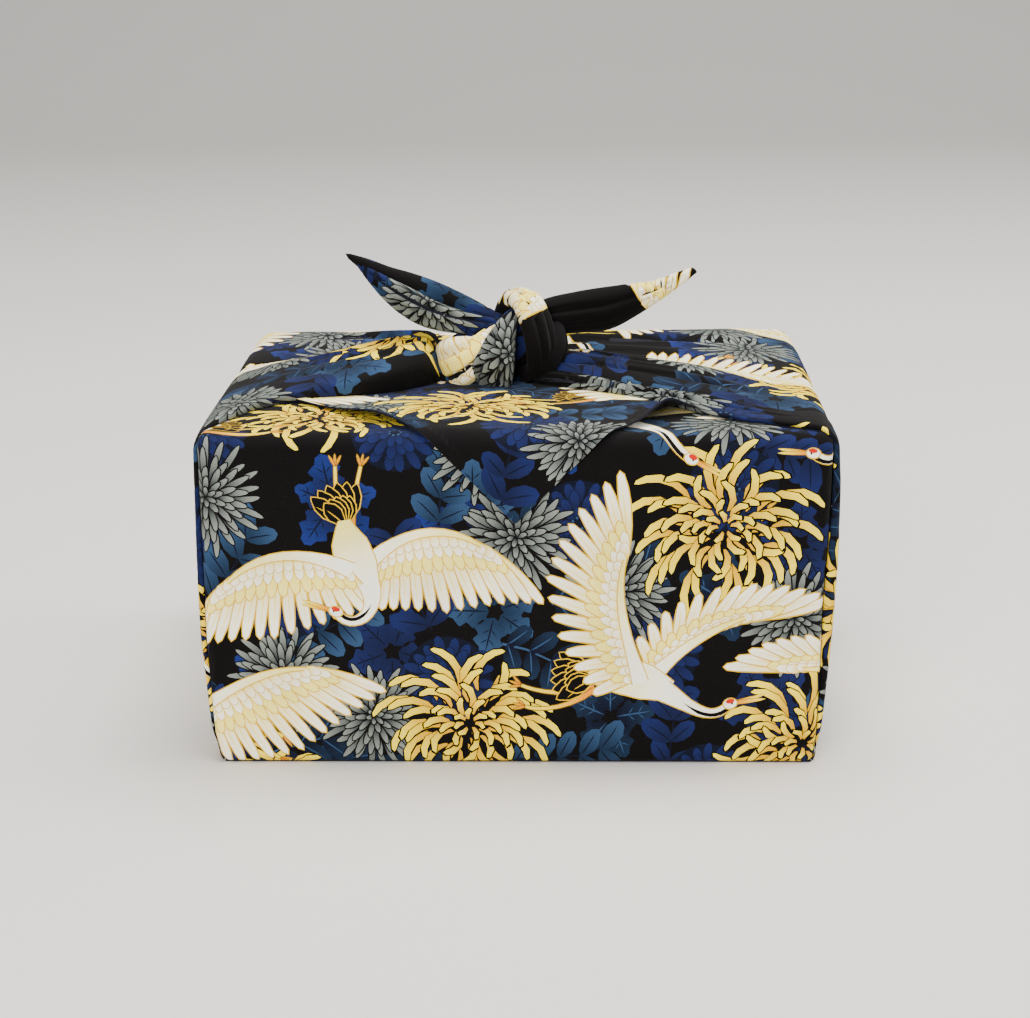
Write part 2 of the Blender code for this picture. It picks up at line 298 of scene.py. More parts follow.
@dataclass(frozen=True)
class Ribbon:
    """A tapered band along a Bezier curve, as a neck, leg, arm or body.

    Attributes:
        route: the curve's four control points.
        widths: widths at even steps along it.
        points: points along each side.
    """

    route: tuple
    widths: tuple[float, ...]
    points: int = 11

    def lines(self, extra: float = 0.0) -> tuple[Array, Array, Array]:
        """Return the outline, the centre line and the unit vectors across it."""
        s = np.linspace(0.0, 1.0, self.points)
        centre = bezier(self.route, s)
        ahead = unit(np.gradient(centre, axis=0))
        across = np.stack([-ahead[:, 1], ahead[:, 0]], axis=1)
        width = np.interp(s, np.linspace(0.0, 1.0, len(self.widths)), self.widths) + extra
        side = across * 0.5 * width[:, None]
        return np.vstack([centre + side, (centre - side)[::-1]]), centre, across

    def lined(self, root: Ink, tip: Ink, edge: Ink, line: float, gilt: float = 0.0) -> list[Patch]:
        """Return the band over a wider one of the edge's ink."""
        wide, centre, _ = self.lines(2.0 * line)
        shape, _, _ = self.lines()
        ends = (tuple(centre[0]), tuple(centre[-1]))
        return [Patch(wide, edge, edge, *ends, 0.8), Patch(shape, root, tip, *ends, gilt)]


def oval(centre: Array, radius: float, points: int, squash: float = 1.0, turn: float = 0.0) -> Array:
    """Return the outline of an ellipse turned by an angle in radians."""
    angle = np.linspace(0.0, FULL_TURN, points, endpoint=False)
    x = radius * np.cos(angle)
    y = squash * radius * np.sin(angle)
    return np.stack([centre[0] + x * math.cos(turn) - y * math.sin(turn),
                     centre[1] + x * math.sin(turn) + y * math.cos(turn)], axis=1)


@dataclass(frozen=True)
class Flower:
    """A chrysanthemum head: rings of petals, painted from the outermost ring in.

    Attributes:
        rings: rows of petal count, start radius, length, width and bend.
        inks: ink at a petal's foot, at its tip and round it.
        line: width of the line round a petal.
        fullness: bluntness of the petals.
        place: where they are widest.
        droop: how surely a petal bends down on its own side of the head.
        aspect: the head's width over its height is the square of this.
        gilt: metallic share of the fill.
        seed: start of the random draws.
    """

    rings: tuple[tuple[int, float, float, float, float], ...]
    inks: tuple[Ink, Ink, Ink]
    line: float
    fullness: float
    place: float
    droop: float
    aspect: float
    gilt: float
    seed: int

    def patches(self) -> tuple[Patch, ...]:
        """Return the petals: each starts on its ring and leans with its own bend."""
        rng = np.random.default_rng(self.seed)
        root, tip, edge = self.inks
        found: list[Patch] = []
        for count, start, length, width, bend in self.rings:
            first = rng.uniform(0.0, FULL_TURN)
            for number in range(count):
                angle = first + FULL_TURN * (number + rng.uniform(-0.16, 0.16)) / count
                foot = start * np.array((math.cos(angle) * self.aspect, math.sin(angle) / self.aspect))
                reach = length * rng.uniform(0.78, 1.14)
                side = rng.uniform(-1.0, 1.0)
                if self.droop:
                    side -= self.droop * math.cos(angle)
                    side = math.copysign(0.65 + 0.35 * min(abs(side), 1.0), side)
                heading = math.atan2(foot[1], foot[0]) - 0.35 * side * bend
                blade = Blade(foot, heading, reach, width, bend * side, self.fullness, self.place,
                              5 + int(length / 5.0))
                found += blade.lined(root, tip, edge, self.line, self.gilt)
        return tuple(found)


def gold_flower(seed: int) -> tuple[Patch, ...]:
    """A spider chrysanthemum in gold, about 54 mm across."""
    rings = ((13, 10.8, 16.6, 2.1, 2.2), (15, 8.6, 14.4, 2.1, 2.2), (14, 6.6, 12.0, 2.0, 2.3),
             (12, 4.7, 9.2, 1.9, 2.4), (9, 3.0, 6.6, 1.7, 2.6), (7, 1.4, 4.2, 1.5, 2.8))
    inks = (Ink.GOLD, Ink.GOLD_PALE, Ink.GROUND)
    return Flower(rings, inks, 0.38, 0.34, 1.3, 0.9, 1.12, 0.3, seed).patches()


def grey_flower(seed: int) -> tuple[Patch, ...]:
    """A reflexed chrysanthemum in ash grey, about 33 mm across."""
    rings = ((24, 6.4, 10.4, 1.75, 0.5), (21, 4.8, 8.8, 1.8, 0.45), (16, 3.0, 6.6, 1.75, 0.4),
             (10, 1.4, 4.8, 1.6, 0.35), (6, 0.2, 2.8, 1.3, 0.3))
    inks = (Ink.ASH_DEEP, Ink.ASH_PALE, Ink.GROUND)
    return Flower(rings, inks, 0.42, 0.5, 1.2, 0.0, 1.0, 0.0, seed).patches()


def blue_flower(seed: int) -> tuple[Patch, ...]:
    """A round chrysanthemum, tone on tone in navy, about 27 mm across."""
    base = Patch(oval(np.zeros(2), 12.6, 24), Ink.NAVY_DEEP, Ink.NAVY_DEEP)
    rings = ((17, 6.0, 7.2, 2.9, 0.25), (14, 3.4, 5.8, 2.7, 0.2), (9, 1.4, 4.2, 2.2, 0.2))
    inks = (Ink.NAVY, Ink.BLUE, Ink.NAVY_DEEP)
    petals = Flower(rings, inks, 0.2, 0.5, 1.3, 0.0, 1.0, 0.0, seed).patches()
    heart = tuple(
        Patch(oval(1.7 * np.array((math.cos(angle), math.sin(angle))), 0.42, 5), Ink.SLATE, Ink.SLATE)
        for angle in np.arange(7) * math.pi / 3.5
    )
    return (base,) + petals + heart


@dataclass(frozen=True)
class Leaf:
    """A lobed leaf: a half width of sin(pi s^0.8)^0.6 with a cosine ripple for the lobes.

    Attributes:
        root: foot of the leaf.
        heading: its direction in radians.
        length: its length.
        inks: ink at the foot, at the tip and in the veins.
    """

    root: Array
    heading: float
    length: float
    inks: tuple[Ink, Ink, Ink]

    def patches(self) -> list[Patch]:
        """Return the leaf, its mid vein and two pairs of side veins."""
        s = np.linspace(0.0, 1.0, 15)
        ripple = 1.0 + 0.22 * np.cos(6.2 * math.pi * s)
        half = 0.34 * self.length * np.sin(math.pi * s**0.8) ** 0.6 * ripple
        side = np.stack([self.length * s, half], axis=1)
        shape = np.vstack([side, (side * (1.0, -1.0))[-2:0:-1]])
        c, d = math.cos(self.heading), math.sin(self.heading)
        turn = np.array(((c, -d), (d, c)))
        tip = turn @ np.array((self.length, 0.0)) + self.root
        foot, end, line = self.inks
        found = [Patch(shape @ turn.T + self.root, foot, end, tuple(self.root), tuple(tip))]
        found.append(vein(self.root, self.heading, 0.9 * self.length, 0.45, 4).patch(line, line))
        for place in (0.3, 0.55):
            start = turn @ np.array((self.length * place, 0.0)) + self.root
            for spread in (0.85, -0.85):
                branch = vein(start, self.heading + spread, 0.24 * self.length, 0.35, 3)
                found.append(branch.patch(line, line))
        return found


def leaf_sprig(seed: int, inks: tuple[Ink, Ink, Ink] = (Ink.NAVY_DEEP, Ink.NAVY, Ink.BLUE),
               count: int = 5) -> tuple[Patch, ...]:
    """A whorl of lobed leaves, about 22 mm across."""
    rng = np.random.default_rng(seed)
    found: list[Patch] = []
    for number in range(count):
        angle = FULL_TURN * (number + rng.uniform(-0.15, 0.15)) / count
        foot = 1.6 * np.array((math.cos(angle), math.sin(angle)))
        found += Leaf(foot, angle, rng.uniform(8.5, 11.5), inks).patches()
    return tuple(found)


def round_sprig(seed: int, inks: tuple[Ink, Ink, Ink]) -> tuple[Patch, ...]:
    """A branch of rounded leaves in pairs, about 30 mm long, each with a mid vein."""
    rng = np.random.default_rng(seed)
    foot, end, line = inks
    stem = Ribbon(((-13, -3), (-5, 1), (5, -2), (12, 2)), (0.7, 0.5, 0.4), 5)
    found: list[Patch] = [Patch(stem.lines()[0], line, line)]
    for place in np.linspace(0.05, 1.0, 5):
        root = bezier(stem.route, place)[0]
        for spread in (1.0, -1.0):
            heading = spread * rng.uniform(0.55, 1.15)
            reach = rng.uniform(8.0, 11.0)
            blade = Blade(root, heading, reach, 0.58 * reach, 0.2 * spread, 0.5, 1.1, 6)
            found.append(blade.patch(foot, end))
            middle = vein(root, heading, 0.85 * reach, 0.4, 4, 0.2 * spread)
            found.append(middle.patch(line, line))
    return tuple(found)


@dataclass(frozen=True)
class Wing:
    """A crane's wing: three rows of feathers fanned along a bone.

    Attributes:
        bone: control points of the leading edge, from the shoulder to the tip.
        headings: headings of the feathers in degrees at the tip, the middle and the shoulder.
        lengths: lengths of the longest row at the same places.
        count: feathers in a row.
        bend: bend of a feather in radians.
    """

    bone: tuple
    headings: tuple[float, float, float]
    lengths: tuple[float, float, float]
    count: int = 14
    bend: float = 0.2

    def patches(self) -> list[Patch]:
        """Return flight feathers with shafts, two rows of coverts and the leading edge."""
        place = np.linspace(1.0, 0.06, self.count)
        share = np.linspace(0.0, 1.0, self.count)
        heading = np.radians(np.interp(share, (0.0, 0.5, 1.0), self.headings))
        length = np.interp(share, (0.0, 0.5, 1.0), self.lengths)
        root = bezier(self.bone, place)
        found: list[Patch] = []
        for foot, way, reach in zip(root, heading, length):
            feather = Blade(foot, way, reach, 3.5, self.bend, 0.3, 1.15, 8)
            found += feather.lined(Ink.SHADE, Ink.WHITE, Ink.LINE_GOLD, 0.46, 0.0, 0.4)
            shaft = vein(foot, way, 0.9 * reach, 0.3, 5, self.bend)
            found.append(shaft.patch(Ink.LINE_GOLD, Ink.GOLD_PALE, 0.4))
        middle = 0.5 * (root[1:] + root[:-1])
        turned = 0.5 * (heading[1:] + heading[:-1])
        for foot, way, reach in zip(middle, turned, length):
            covert = Blade(foot, way, 0.5 * reach, 3.5, self.bend, 0.36, 1.15, 6)
            found += covert.lined(Ink.SHADE, Ink.CREAM, Ink.LINE_GOLD, 0.36, 0.0, 0.4)
        for scale in (0.33, 0.2):
            for foot, way, reach in zip(root, heading, length):
                covert = Blade(foot, way, scale * reach, 3.1, self.bend, 0.42, 1.15, 5)
                found += covert.lined(Ink.SHADE, Ink.WHITE, Ink.LINE_GOLD, 0.26, 0.0, 0.4)
        found += Ribbon(self.bone, (5.2, 3.0, 2.2, 0.8)).lined(Ink.WHITE, Ink.CREAM, Ink.LINE_GOLD, 0.38)
        return found


@dataclass(frozen=True)
class Crane:
    """A flying crane drawn from its wings, legs, tail, body, neck and head.

    Attributes:
        body: control points from the tail to the breast.
        girth: greatest width of the body.
        wings: the wing behind the body, then the one in front.
        neck: control points from the breast to the head.
        beak: heading of the beak in degrees.
        legs: control points of each leg.
        tail: headings of the first and last tail feathers in degrees.
        tail_root: foot of the tail feathers.
    """

    body: tuple
    girth: float
    wings: tuple[Wing, Wing]
    neck: tuple
    beak: float
    legs: tuple
    tail: tuple[float, float]
    tail_root: tuple[float, float]

    def leg_patches(self) -> list[Patch]:
        """Return the legs, each a thin band that ends in three toes."""
        found: list[Patch] = []
        for route in self.legs:
            leg = Ribbon(route, (1.6, 1.1, 0.9), 8)
            found += leg.lined(Ink.ORANGE, Ink.GOLD_PALE, Ink.GOLD_DEEP, 0.3, 0.5)
            _, centre, _ = leg.lines()
            ahead = centre[-1] - centre[-2]
            heading = math.atan2(ahead[1], ahead[0])
            for spread in (-0.5, 0.0, 0.5):
                toe = Blade(centre[-1], heading + spread, 4.2, 0.8, 0.0, 0.5, 0.8, 5)
                found += toe.lined(Ink.ORANGE, Ink.GOLD, Ink.GOLD_DEEP, 0.25, 0.5, 0.8)
        return found

    def tail_patches(self) -> list[Patch]:
        """Return the fan of dark tail plumes with gold lines."""
        first, last = self.tail
        foot = np.array(self.tail_root)
        found: list[Patch] = []
        for reach, count, inset in ((14.5, 6, 0.0), (10.0, 5, 7.0)):
            for angle in np.radians(np.linspace(first + inset, last - inset, count)):
                plume = Blade(foot, angle, reach, 5.4, 0.0, 0.85, 1.25)
                found += plume.lined(Ink.GROUND, Ink.GROUND, Ink.LINE_GOLD, 0.42, 0.0, 0.8)
                shaft = vein(foot, angle, 0.8 * reach, 0.4, 5, 0.25)
                found.append(shaft.patch(Ink.LINE_GOLD, Ink.LINE_GOLD, 0.8))
        return found

    def neck_patches(self) -> list[Patch]:
        """Return the white neck with a dark stripe that widens towards the head."""
        neck = Ribbon(self.neck, (7.0, 4.0, 2.7, 2.6), 13)
        found = neck.lined(Ink.WHITE, Ink.WHITE, Ink.LINE_GOLD, 0.4)
        _, centre, across = neck.lines()
        keep = slice(3, None)
        depth = np.interp(np.arange(len(centre)), (3, 6, 12), (0.0, 1.15, 1.35))[:, None]
        stripe = np.vstack([centre[keep], (centre - across * depth)[keep][::-1]])
        found.append(Patch(stripe, Ink.GROUND, Ink.GROUND))
        return found

    def head_patches(self) -> list[Patch]:
        """Return the beak, the head, its red crown and the eye."""
        head = np.array(self.neck[-1], dtype=float)
        angle = math.radians(self.beak)
        ahead = np.array((math.cos(angle), math.sin(angle)))
        up = np.array((-ahead[1], ahead[0]))
        up *= math.copysign(1.0, up[1])
        found: list[Patch] = []
        for spread in (0.07, -0.07):
            half = Blade(head + 1.2 * ahead, angle + spread, 10.5, 1.3, 0.0, 0.45, 0.55, 5)
            found += half.lined(Ink.ORANGE, Ink.GOLD_PALE, Ink.GOLD_DEEP, 0.2, 0.5, 0.8)
        found.append(Patch(oval(head, 2.6, 14, 0.78, angle), Ink.LINE_GOLD, Ink.LINE_GOLD, gilt=0.8))
        found.append(Patch(oval(head, 2.2, 14, 0.74, angle), Ink.WHITE, Ink.WHITE))
        crown = oval(head + 0.8 * up + 0.2 * ahead, 1.5, 10, 0.55, angle)
        found.append(Patch(crown, Ink.RED, Ink.RED))
        found.append(Patch(oval(head + 0.7 * ahead - 0.1 * up, 0.38, 6), Ink.GROUND, Ink.GROUND))
        return found

    def patches(self) -> tuple[Patch, ...]:
        """Return the whole bird in painting order, from the far wing to the near one."""
        girth = self.girth
        body = Ribbon(self.body, (0.3 * girth, girth, 1.05 * girth, 0.6 * girth))
        found = self.wings[0].patches() + self.leg_patches() + self.tail_patches()
        found += body.lined(Ink.CREAM, Ink.WHITE, Ink.LINE_GOLD, 0.42)
        found += self.wings[1].patches() + self.neck_patches() + self.head_patches()
        return tuple(found)


SOARING = Crane(
    body=((-14, 1), (-5, 4), (4, 2), (13, -1)), girth=11.5,
    wings=(Wing(((6, 2), (13, 12), (22, 20), (35, 26)), (12, 52, 112), (29, 24, 14), 13, 0.22),
           Wing(((3, 1), (-2, 13), (-9, 26), (-7, 41)), (92, 148, 200), (29, 29, 16), 15, 0.28)),
    neck=((11, -1), (20, -5), (29, -11), (34, -3)), beak=18.0,
    legs=(((-12, -2), (-22, -7), (-33, -5), (-36, -4)), ((-12, -3), (-20, -11), (-31, -12), (-34, -11))),
    tail=(150, 215), tail_root=(-12, 1))

BANKING = Crane(
    body=((0, 13), (-1, 5), (0, -3), (2, -11)), girth=12.0,
    wings=(Wing(((2, -4), (15, 5), (30, 6), (41, -6)), (-52, -82, -108), (28, 28, 17), 15, -0.22),
           Wing(((-2, -4), (-15, 7), (-30, 10), (-43, 2)), (-146, -116, -74), (28, 28, 17), 15, 0.22)),
    neck=((2, -9), (4, -20), (-8, -25), (-11, -16)), beak=150.0,
    legs=(((2, 10), (5, 20), (8, 25), (10, 29)), ((-2, 10), (-1, 20), (1, 27), (2, 31))),
    tail=(60, 125), tail_root=(0, 11))

GLIDING = Crane(
    body=((-13, 5), (-5, 6), (3, 3), (10, -3)), girth=11.0,
    wings=(Wing(((4, 3), (14, 9), (25, 14), (38, 10)), (-8, 34, 82), (26, 22, 13), 13, -0.16),
           Wing(((0, 3), (-8, 11), (-18, 24), (-34, 28)), (176, 212, 250), (28, 29, 18), 15, 0.22)),
    neck=((9, -3), (17, -10), (15, -21), (23, -27)), beak=-35.0,
    legs=(((-11, 4), (-20, 6), (-28, 4), (-31, 3)), ((-11, 2), (-18, 0), (-27, -4), (-30, -5))),
    tail=(145, 205), tail_root=(-11, 5))


# Motifs of one repeat, as rows of seed, p, q and turn in degrees.
LEAF_SPRIGS = (
    (31, -72, 104, 0), (32, -6, 124, 30), (33, 28, 92, 10), (34, 74, 96, 50), (35, -52, 156, 20),
    (36, 44, 184, 40), (37, -30, 72, 5), (38, 82, 144, 15), (39, -98, 150, 33), (40, 30, 44, 60),
    (41, -64, 48, 12), (42, 96, 48, 25), (43, 6, 172, 44), (44, -12, 36, 20), (45, 60, 128, 5),
    (46, -82, 78, 70), (47, -16, 150, 15), (48, 64, 34, 35), (49, 98, 104, 0), (50, -36, 112, 62))
ROUND_SPRIGS = (
    (71, -58, 118, 20), (72, 10, 110, -30), (73, 46, 84, 80), (74, -84, 134, 50), (75, 24, 132, 10),
    (76, 70, 172, -20), (77, -20, 164, 70), (78, -46, 76, -40), (79, 74, 58, 30), (80, 12, 80, 0),
    (81, -100, 110, 90), (82, -30, 132, 100), (83, 100, 92, -60), (84, -66, 84, 10),
    (85, 40, 24, 40), (86, -50, 30, -20), (87, 2, 30, 15), (88, -2, 52, 70))

# Rows of seed, p and q.
BLUE_FLOWERS = (
    (10, -6, 14), (11, -92, 90), (12, -66, 128), (13, -20, 104), (14, 18, 150), (15, 62, 160),
    (16, 96, 122), (17, 4, 66), (18, -48, 58), (19, 58, 72), (20, -88, 178), (21, 42, 112),
    (22, -34, 178), (23, 92, 72), (24, -2, 194), (25, 84, 190))

# Rows of seed, p, q and scale.
GREY_FLOWERS = (
    (51, 0, 146, 1.05), (52, -88, 158, 1.0), (53, 82, 122, 1.0), (54, -42, 92, 0.98),
    (55, 34, 50, 1.0), (56, 62, 188, 1.02), (57, -100, 60, 0.95), (58, 18, 56, 0.95),
    (59, 12, 8, 0.9), (60, -68, 104, 1.0), (70, 30, 130, 0.95), (69, -8, 172, 1.0))
GOLD_FLOWERS = (
    (61, -14, 90, 1.06), (62, 60, 149, 1.1), (63, -58, 194, 1.02), (64, 86, 84, 1.0),
    (65, -74, 62, 1.04), (66, -28, 14, 1.0))

# Rows of crane, p, q, turn in degrees, scale, and whether it is mirrored.
CRANES = (
    (SOARING, 34, 102, -6, 0.9, False), (BANKING, -46, 140, 14, 0.88, False),
    (GLIDING, 26, 190, 8, 0.9, False), (GLIDING, -97, 90, -14, 0.88, True),
    (SOARING, 112, 180, 14, 0.86, True))


@dataclass
class Print:
    """The printed design: one repeat of motifs, laid out over the whole cloth.

    Attributes:
        width: the repeat's size along p.
        height: its size along q.
        margin: how far the design goes beyond the cloth's corners.
        placed: every patch on the cloth, in painting order.
        low: lowest p and q of each patch.
        high: highest p and q of each patch.
    """

    width: float = 212.0
    height: float = 196.0
    margin: float = 40.0
    placed: list[Patch] = field(default_factory=list)
    low: Array = field(default_factory=lambda: np.zeros((0, 2)))
    high: Array = field(default_factory=lambda: np.zeros((0, 2)))

    def repeat(self) -> list[Placement]:
        """Return the motifs of one repeat, from the lowest layer up."""
        tones = ((Ink.TEAL, Ink.SLATE, Ink.NAVY_DEEP), (Ink.NAVY_DEEP, Ink.TEAL, Ink.SLATE),
                 (Ink.NAVY, Ink.BLUE, Ink.NAVY_DEEP), (Ink.NAVY, Ink.BRIGHT_BLUE, Ink.NAVY_DEEP))
        layout = [Placement(leaf_sprig(seed, tones[seed % 4]), p, q, turn, 1.15)
                  for seed, p, q, turn in LEAF_SPRIGS]
        layout += [Placement(round_sprig(seed, tones[(seed + 1) % 3]), p, q, turn, 1.1)
                   for seed, p, q, turn in ROUND_SPRIGS]
        layout += [Placement(blue_flower(seed), p, q, 0.0, 0.92 + 0.02 * (seed % 9))
                   for seed, p, q in BLUE_FLOWERS]
        layout += [Placement(grey_flower(seed), p, q, 0.0, size) for seed, p, q, size in GREY_FLOWERS]
        layout += [Placement(gold_flower(seed), p, q, 0.0, size) for seed, p, q, size in GOLD_FLOWERS]
        layout += [Placement(crane.patches(), *place) for crane, *place in CRANES]
        return layout

    def draw(self) -> None:
        """Lay the repeat out over the cloth's square and note the box of each patch."""
        reach = CORNER_REACH + self.margin
        columns, rows = (range(-math.ceil(reach / size), math.ceil(reach / size) + 1)
                         for size in (self.width, self.height))
        shifts = [np.array((column * self.width, row * self.height))
                  for column in columns for row in rows]
        self.placed = [patch.moved(np.eye(2), shift)
                       for motif in self.repeat() for patch in motif.placed() for shift in shifts]
        self.low = np.array([patch.outline.min(axis=0) for patch in self.placed])
        self.high = np.array([patch.outline.max(axis=0) for patch in self.placed])

    def within(self, low: Array, high: Array) -> list[Patch]:
        """Return the patches whose box meets the box from low to high, in painting order."""
        meets = np.all((self.high > low) & (self.low < high), axis=1)
        return [self.placed[index] for index in np.flatnonzero(meets)]


@dataclass
class Strip:
    """A stretch of cloth: a grid of places in space and where each lies on the flat cloth.

    Column j of station i lies at along[i], and at an even step from low[i] to high[i] across.

    Attributes:
        name: name of the piece.
        space: places, stations by columns by three.
        along: flat place of each station.
        low: flat place of the first column of each station.
        high: flat place of the last column.
        grain: how (along, across) lies on the print.
        origin: (p, q) of along = 0, across = 0.
        spacing: stations and columns between the points that shape the mesh.
        held: how the cloth is held; not used.
        heart: a point or a line of points inside, which the printed side faces away from.
        normals: unit normals of the grid, worked out unless they are given.
    """

    name: str
    space: Array
    along: Array
    low: Array
    high: Array
    grain: Grain
    origin: tuple[float, float]
    spacing: tuple[int, int] = (2, 2)
    held: str = "folded"
    heart: Array = field(default_factory=lambda: BODY_CENTRE)
    normals: Array = field(default_factory=lambda: np.zeros(0))

    def __post_init__(self) -> None:
        """Work out the grid's unit normals: the cross product of the two grid directions."""
        if len(self.normals):
            return
        ahead = np.gradient(self.space, axis=0)
        across = np.gradient(self.space, axis=1)
        normals = unit(np.cross(ahead, across))
        heart = self.heart if self.heart.ndim == 1 else self.heart[:, None, :]
        if np.sum(normals * (self.space - heart)) < 0.0:
            normals = -normals
        self.normals = normals

    def border(self) -> Array:
        """Return the flat outline: up the low edge and back down the high edge."""
        low = np.stack([self.along, self.low], axis=1)
        high = np.stack([self.along, self.high], axis=1)
        return np.vstack([low, high[::-1]])

    def contains(self, flat: Array) -> Array:
        """Tell which flat points lie inside the outline."""
        low = np.interp(flat[:, 0], self.along, self.low)
        high = np.interp(flat[:, 0], self.along, self.high)
        ahead = (flat[:, 0] > self.along[0]) & (flat[:, 0] < self.along[-1])
        return ahead & (flat[:, 1] > low) & (flat[:, 1] < high)

    def inner_points(self, spacing: tuple[int, int]) -> Array:
        """Return flat points inside the outline, at the given steps of the grid."""
        rows, columns = self.space.shape[:2]
        station = np.arange(1, rows - 1)[:: spacing[0]]
        share = np.arange(spacing[1], columns - 1, spacing[1]) / (columns - 1.0)
        width = (self.high - self.low)[station, None]
        across = self.low[station, None] + width * share[None, :]
        along = np.broadcast_to(self.along[station, None], across.shape)
        return np.stack([along, across], axis=-1)[np.broadcast_to(width > 3.0, across.shape)]

    def to_print(self, flat: Array) -> Array:
        """Turn (along, across) into (p, q)."""
        return flat @ self.grain.matrix().T + np.array(self.origin)

    def from_print(self, place: Array) -> Array:
        """Turn (p, q) into (along, across)."""
        return (place - np.array(self.origin)) @ np.linalg.inv(self.grain.matrix()).T

    def lift(self, flat: Array) -> tuple[Array, Array]:
        """Return places and unit normals in space: the grid is read between its four neighbours."""
        rows, columns = self.space.shape[:2]
        station = np.interp(flat[:, 0], self.along, np.arange(rows))
        i = np.clip(station.astype(int), 0, rows - 2)
        u = (station - i)[:, None]
        low = self.low[i] + (self.low[i + 1] - self.low[i]) * u[:, 0]
        high = self.high[i] + (self.high[i + 1] - self.high[i]) * u[:, 0]
        share = np.clip((flat[:, 1] - low) / np.maximum(high - low, 1e-6), 0.0, 1.0) * (columns - 1)
        j = np.clip(share.astype(int), 0, columns - 2)
        v = (share - j)[:, None]
        found = []
        for grid in (self.space, self.normals):
            found.append((1 - u) * (1 - v) * grid[i, j] + u * (1 - v) * grid[i + 1, j]
                         + (1 - u) * v * grid[i, j + 1] + u * v * grid[i + 1, j + 1])
        return found[0], unit(found[1])

    def part(self, name: str, first: int, last: int) -> Strip:
        """Return the stretch from one station to another, with the whole strip's normals."""
        keep = slice(first, last + 1)
        return Strip(name, self.space[keep], self.along[keep], self.low[keep], self.high[keep],
                     self.grain, self.origin, self.spacing, self.held, self.heart, self.normals[keep])

    def flat_size(self) -> tuple[float, float, float]:
        """Return the flat width, length and area in metres and square metres."""
        width = self.high - self.low
        step = np.diff(self.along)
        area = float(np.sum(0.5 * (width[1:] + width[:-1]) * step)) * MM * MM
        length = float(self.along[-1] - self.along[0]) * MM
        return float(width.max()) * MM, length, area


def directed_edges(triangles: Array) -> Array:
    """Return the three directed edges of each triangle, one row each."""
    return np.stack([triangles.ravel(), np.roll(triangles, -1, axis=1).ravel()], axis=1)


def face_normals(place: Array, faces: Array) -> Array:
    """Return (b - a) x (c - a) for each triangle a, b, c."""
    a, b, c = (place[faces[:, k]] for k in range(3))
    return np.cross(b - a, c - a)


def find_keys(keys: Array, wanted: Array) -> Array:
    """Return where each wanted key stands among the keys, or -1 where it is missing."""
    order = np.argsort(keys)
    spot = order[np.minimum(np.searchsorted(keys[order], wanted), len(keys) - 1)]
    return np.where(keys[spot] == wanted, spot, -1)


def triangulate(points: Array, lines: Array, close: float) -> tuple:
    """Return the constrained Delaunay triangulation of points and lines.

    Args:
        points: rows of two coordinates.
        lines: rows of the two points at a line's ends.
        close: distance below which points count as one.

    Returns:
        What delaunay_2d_cdt gives, with the points first, the faces third and the sources fourth.
    """
    return delaunay_2d_cdt([Vector(point) for point in points.tolist()],
                           [tuple(line) for line in lines.tolist()], [], 0, close)


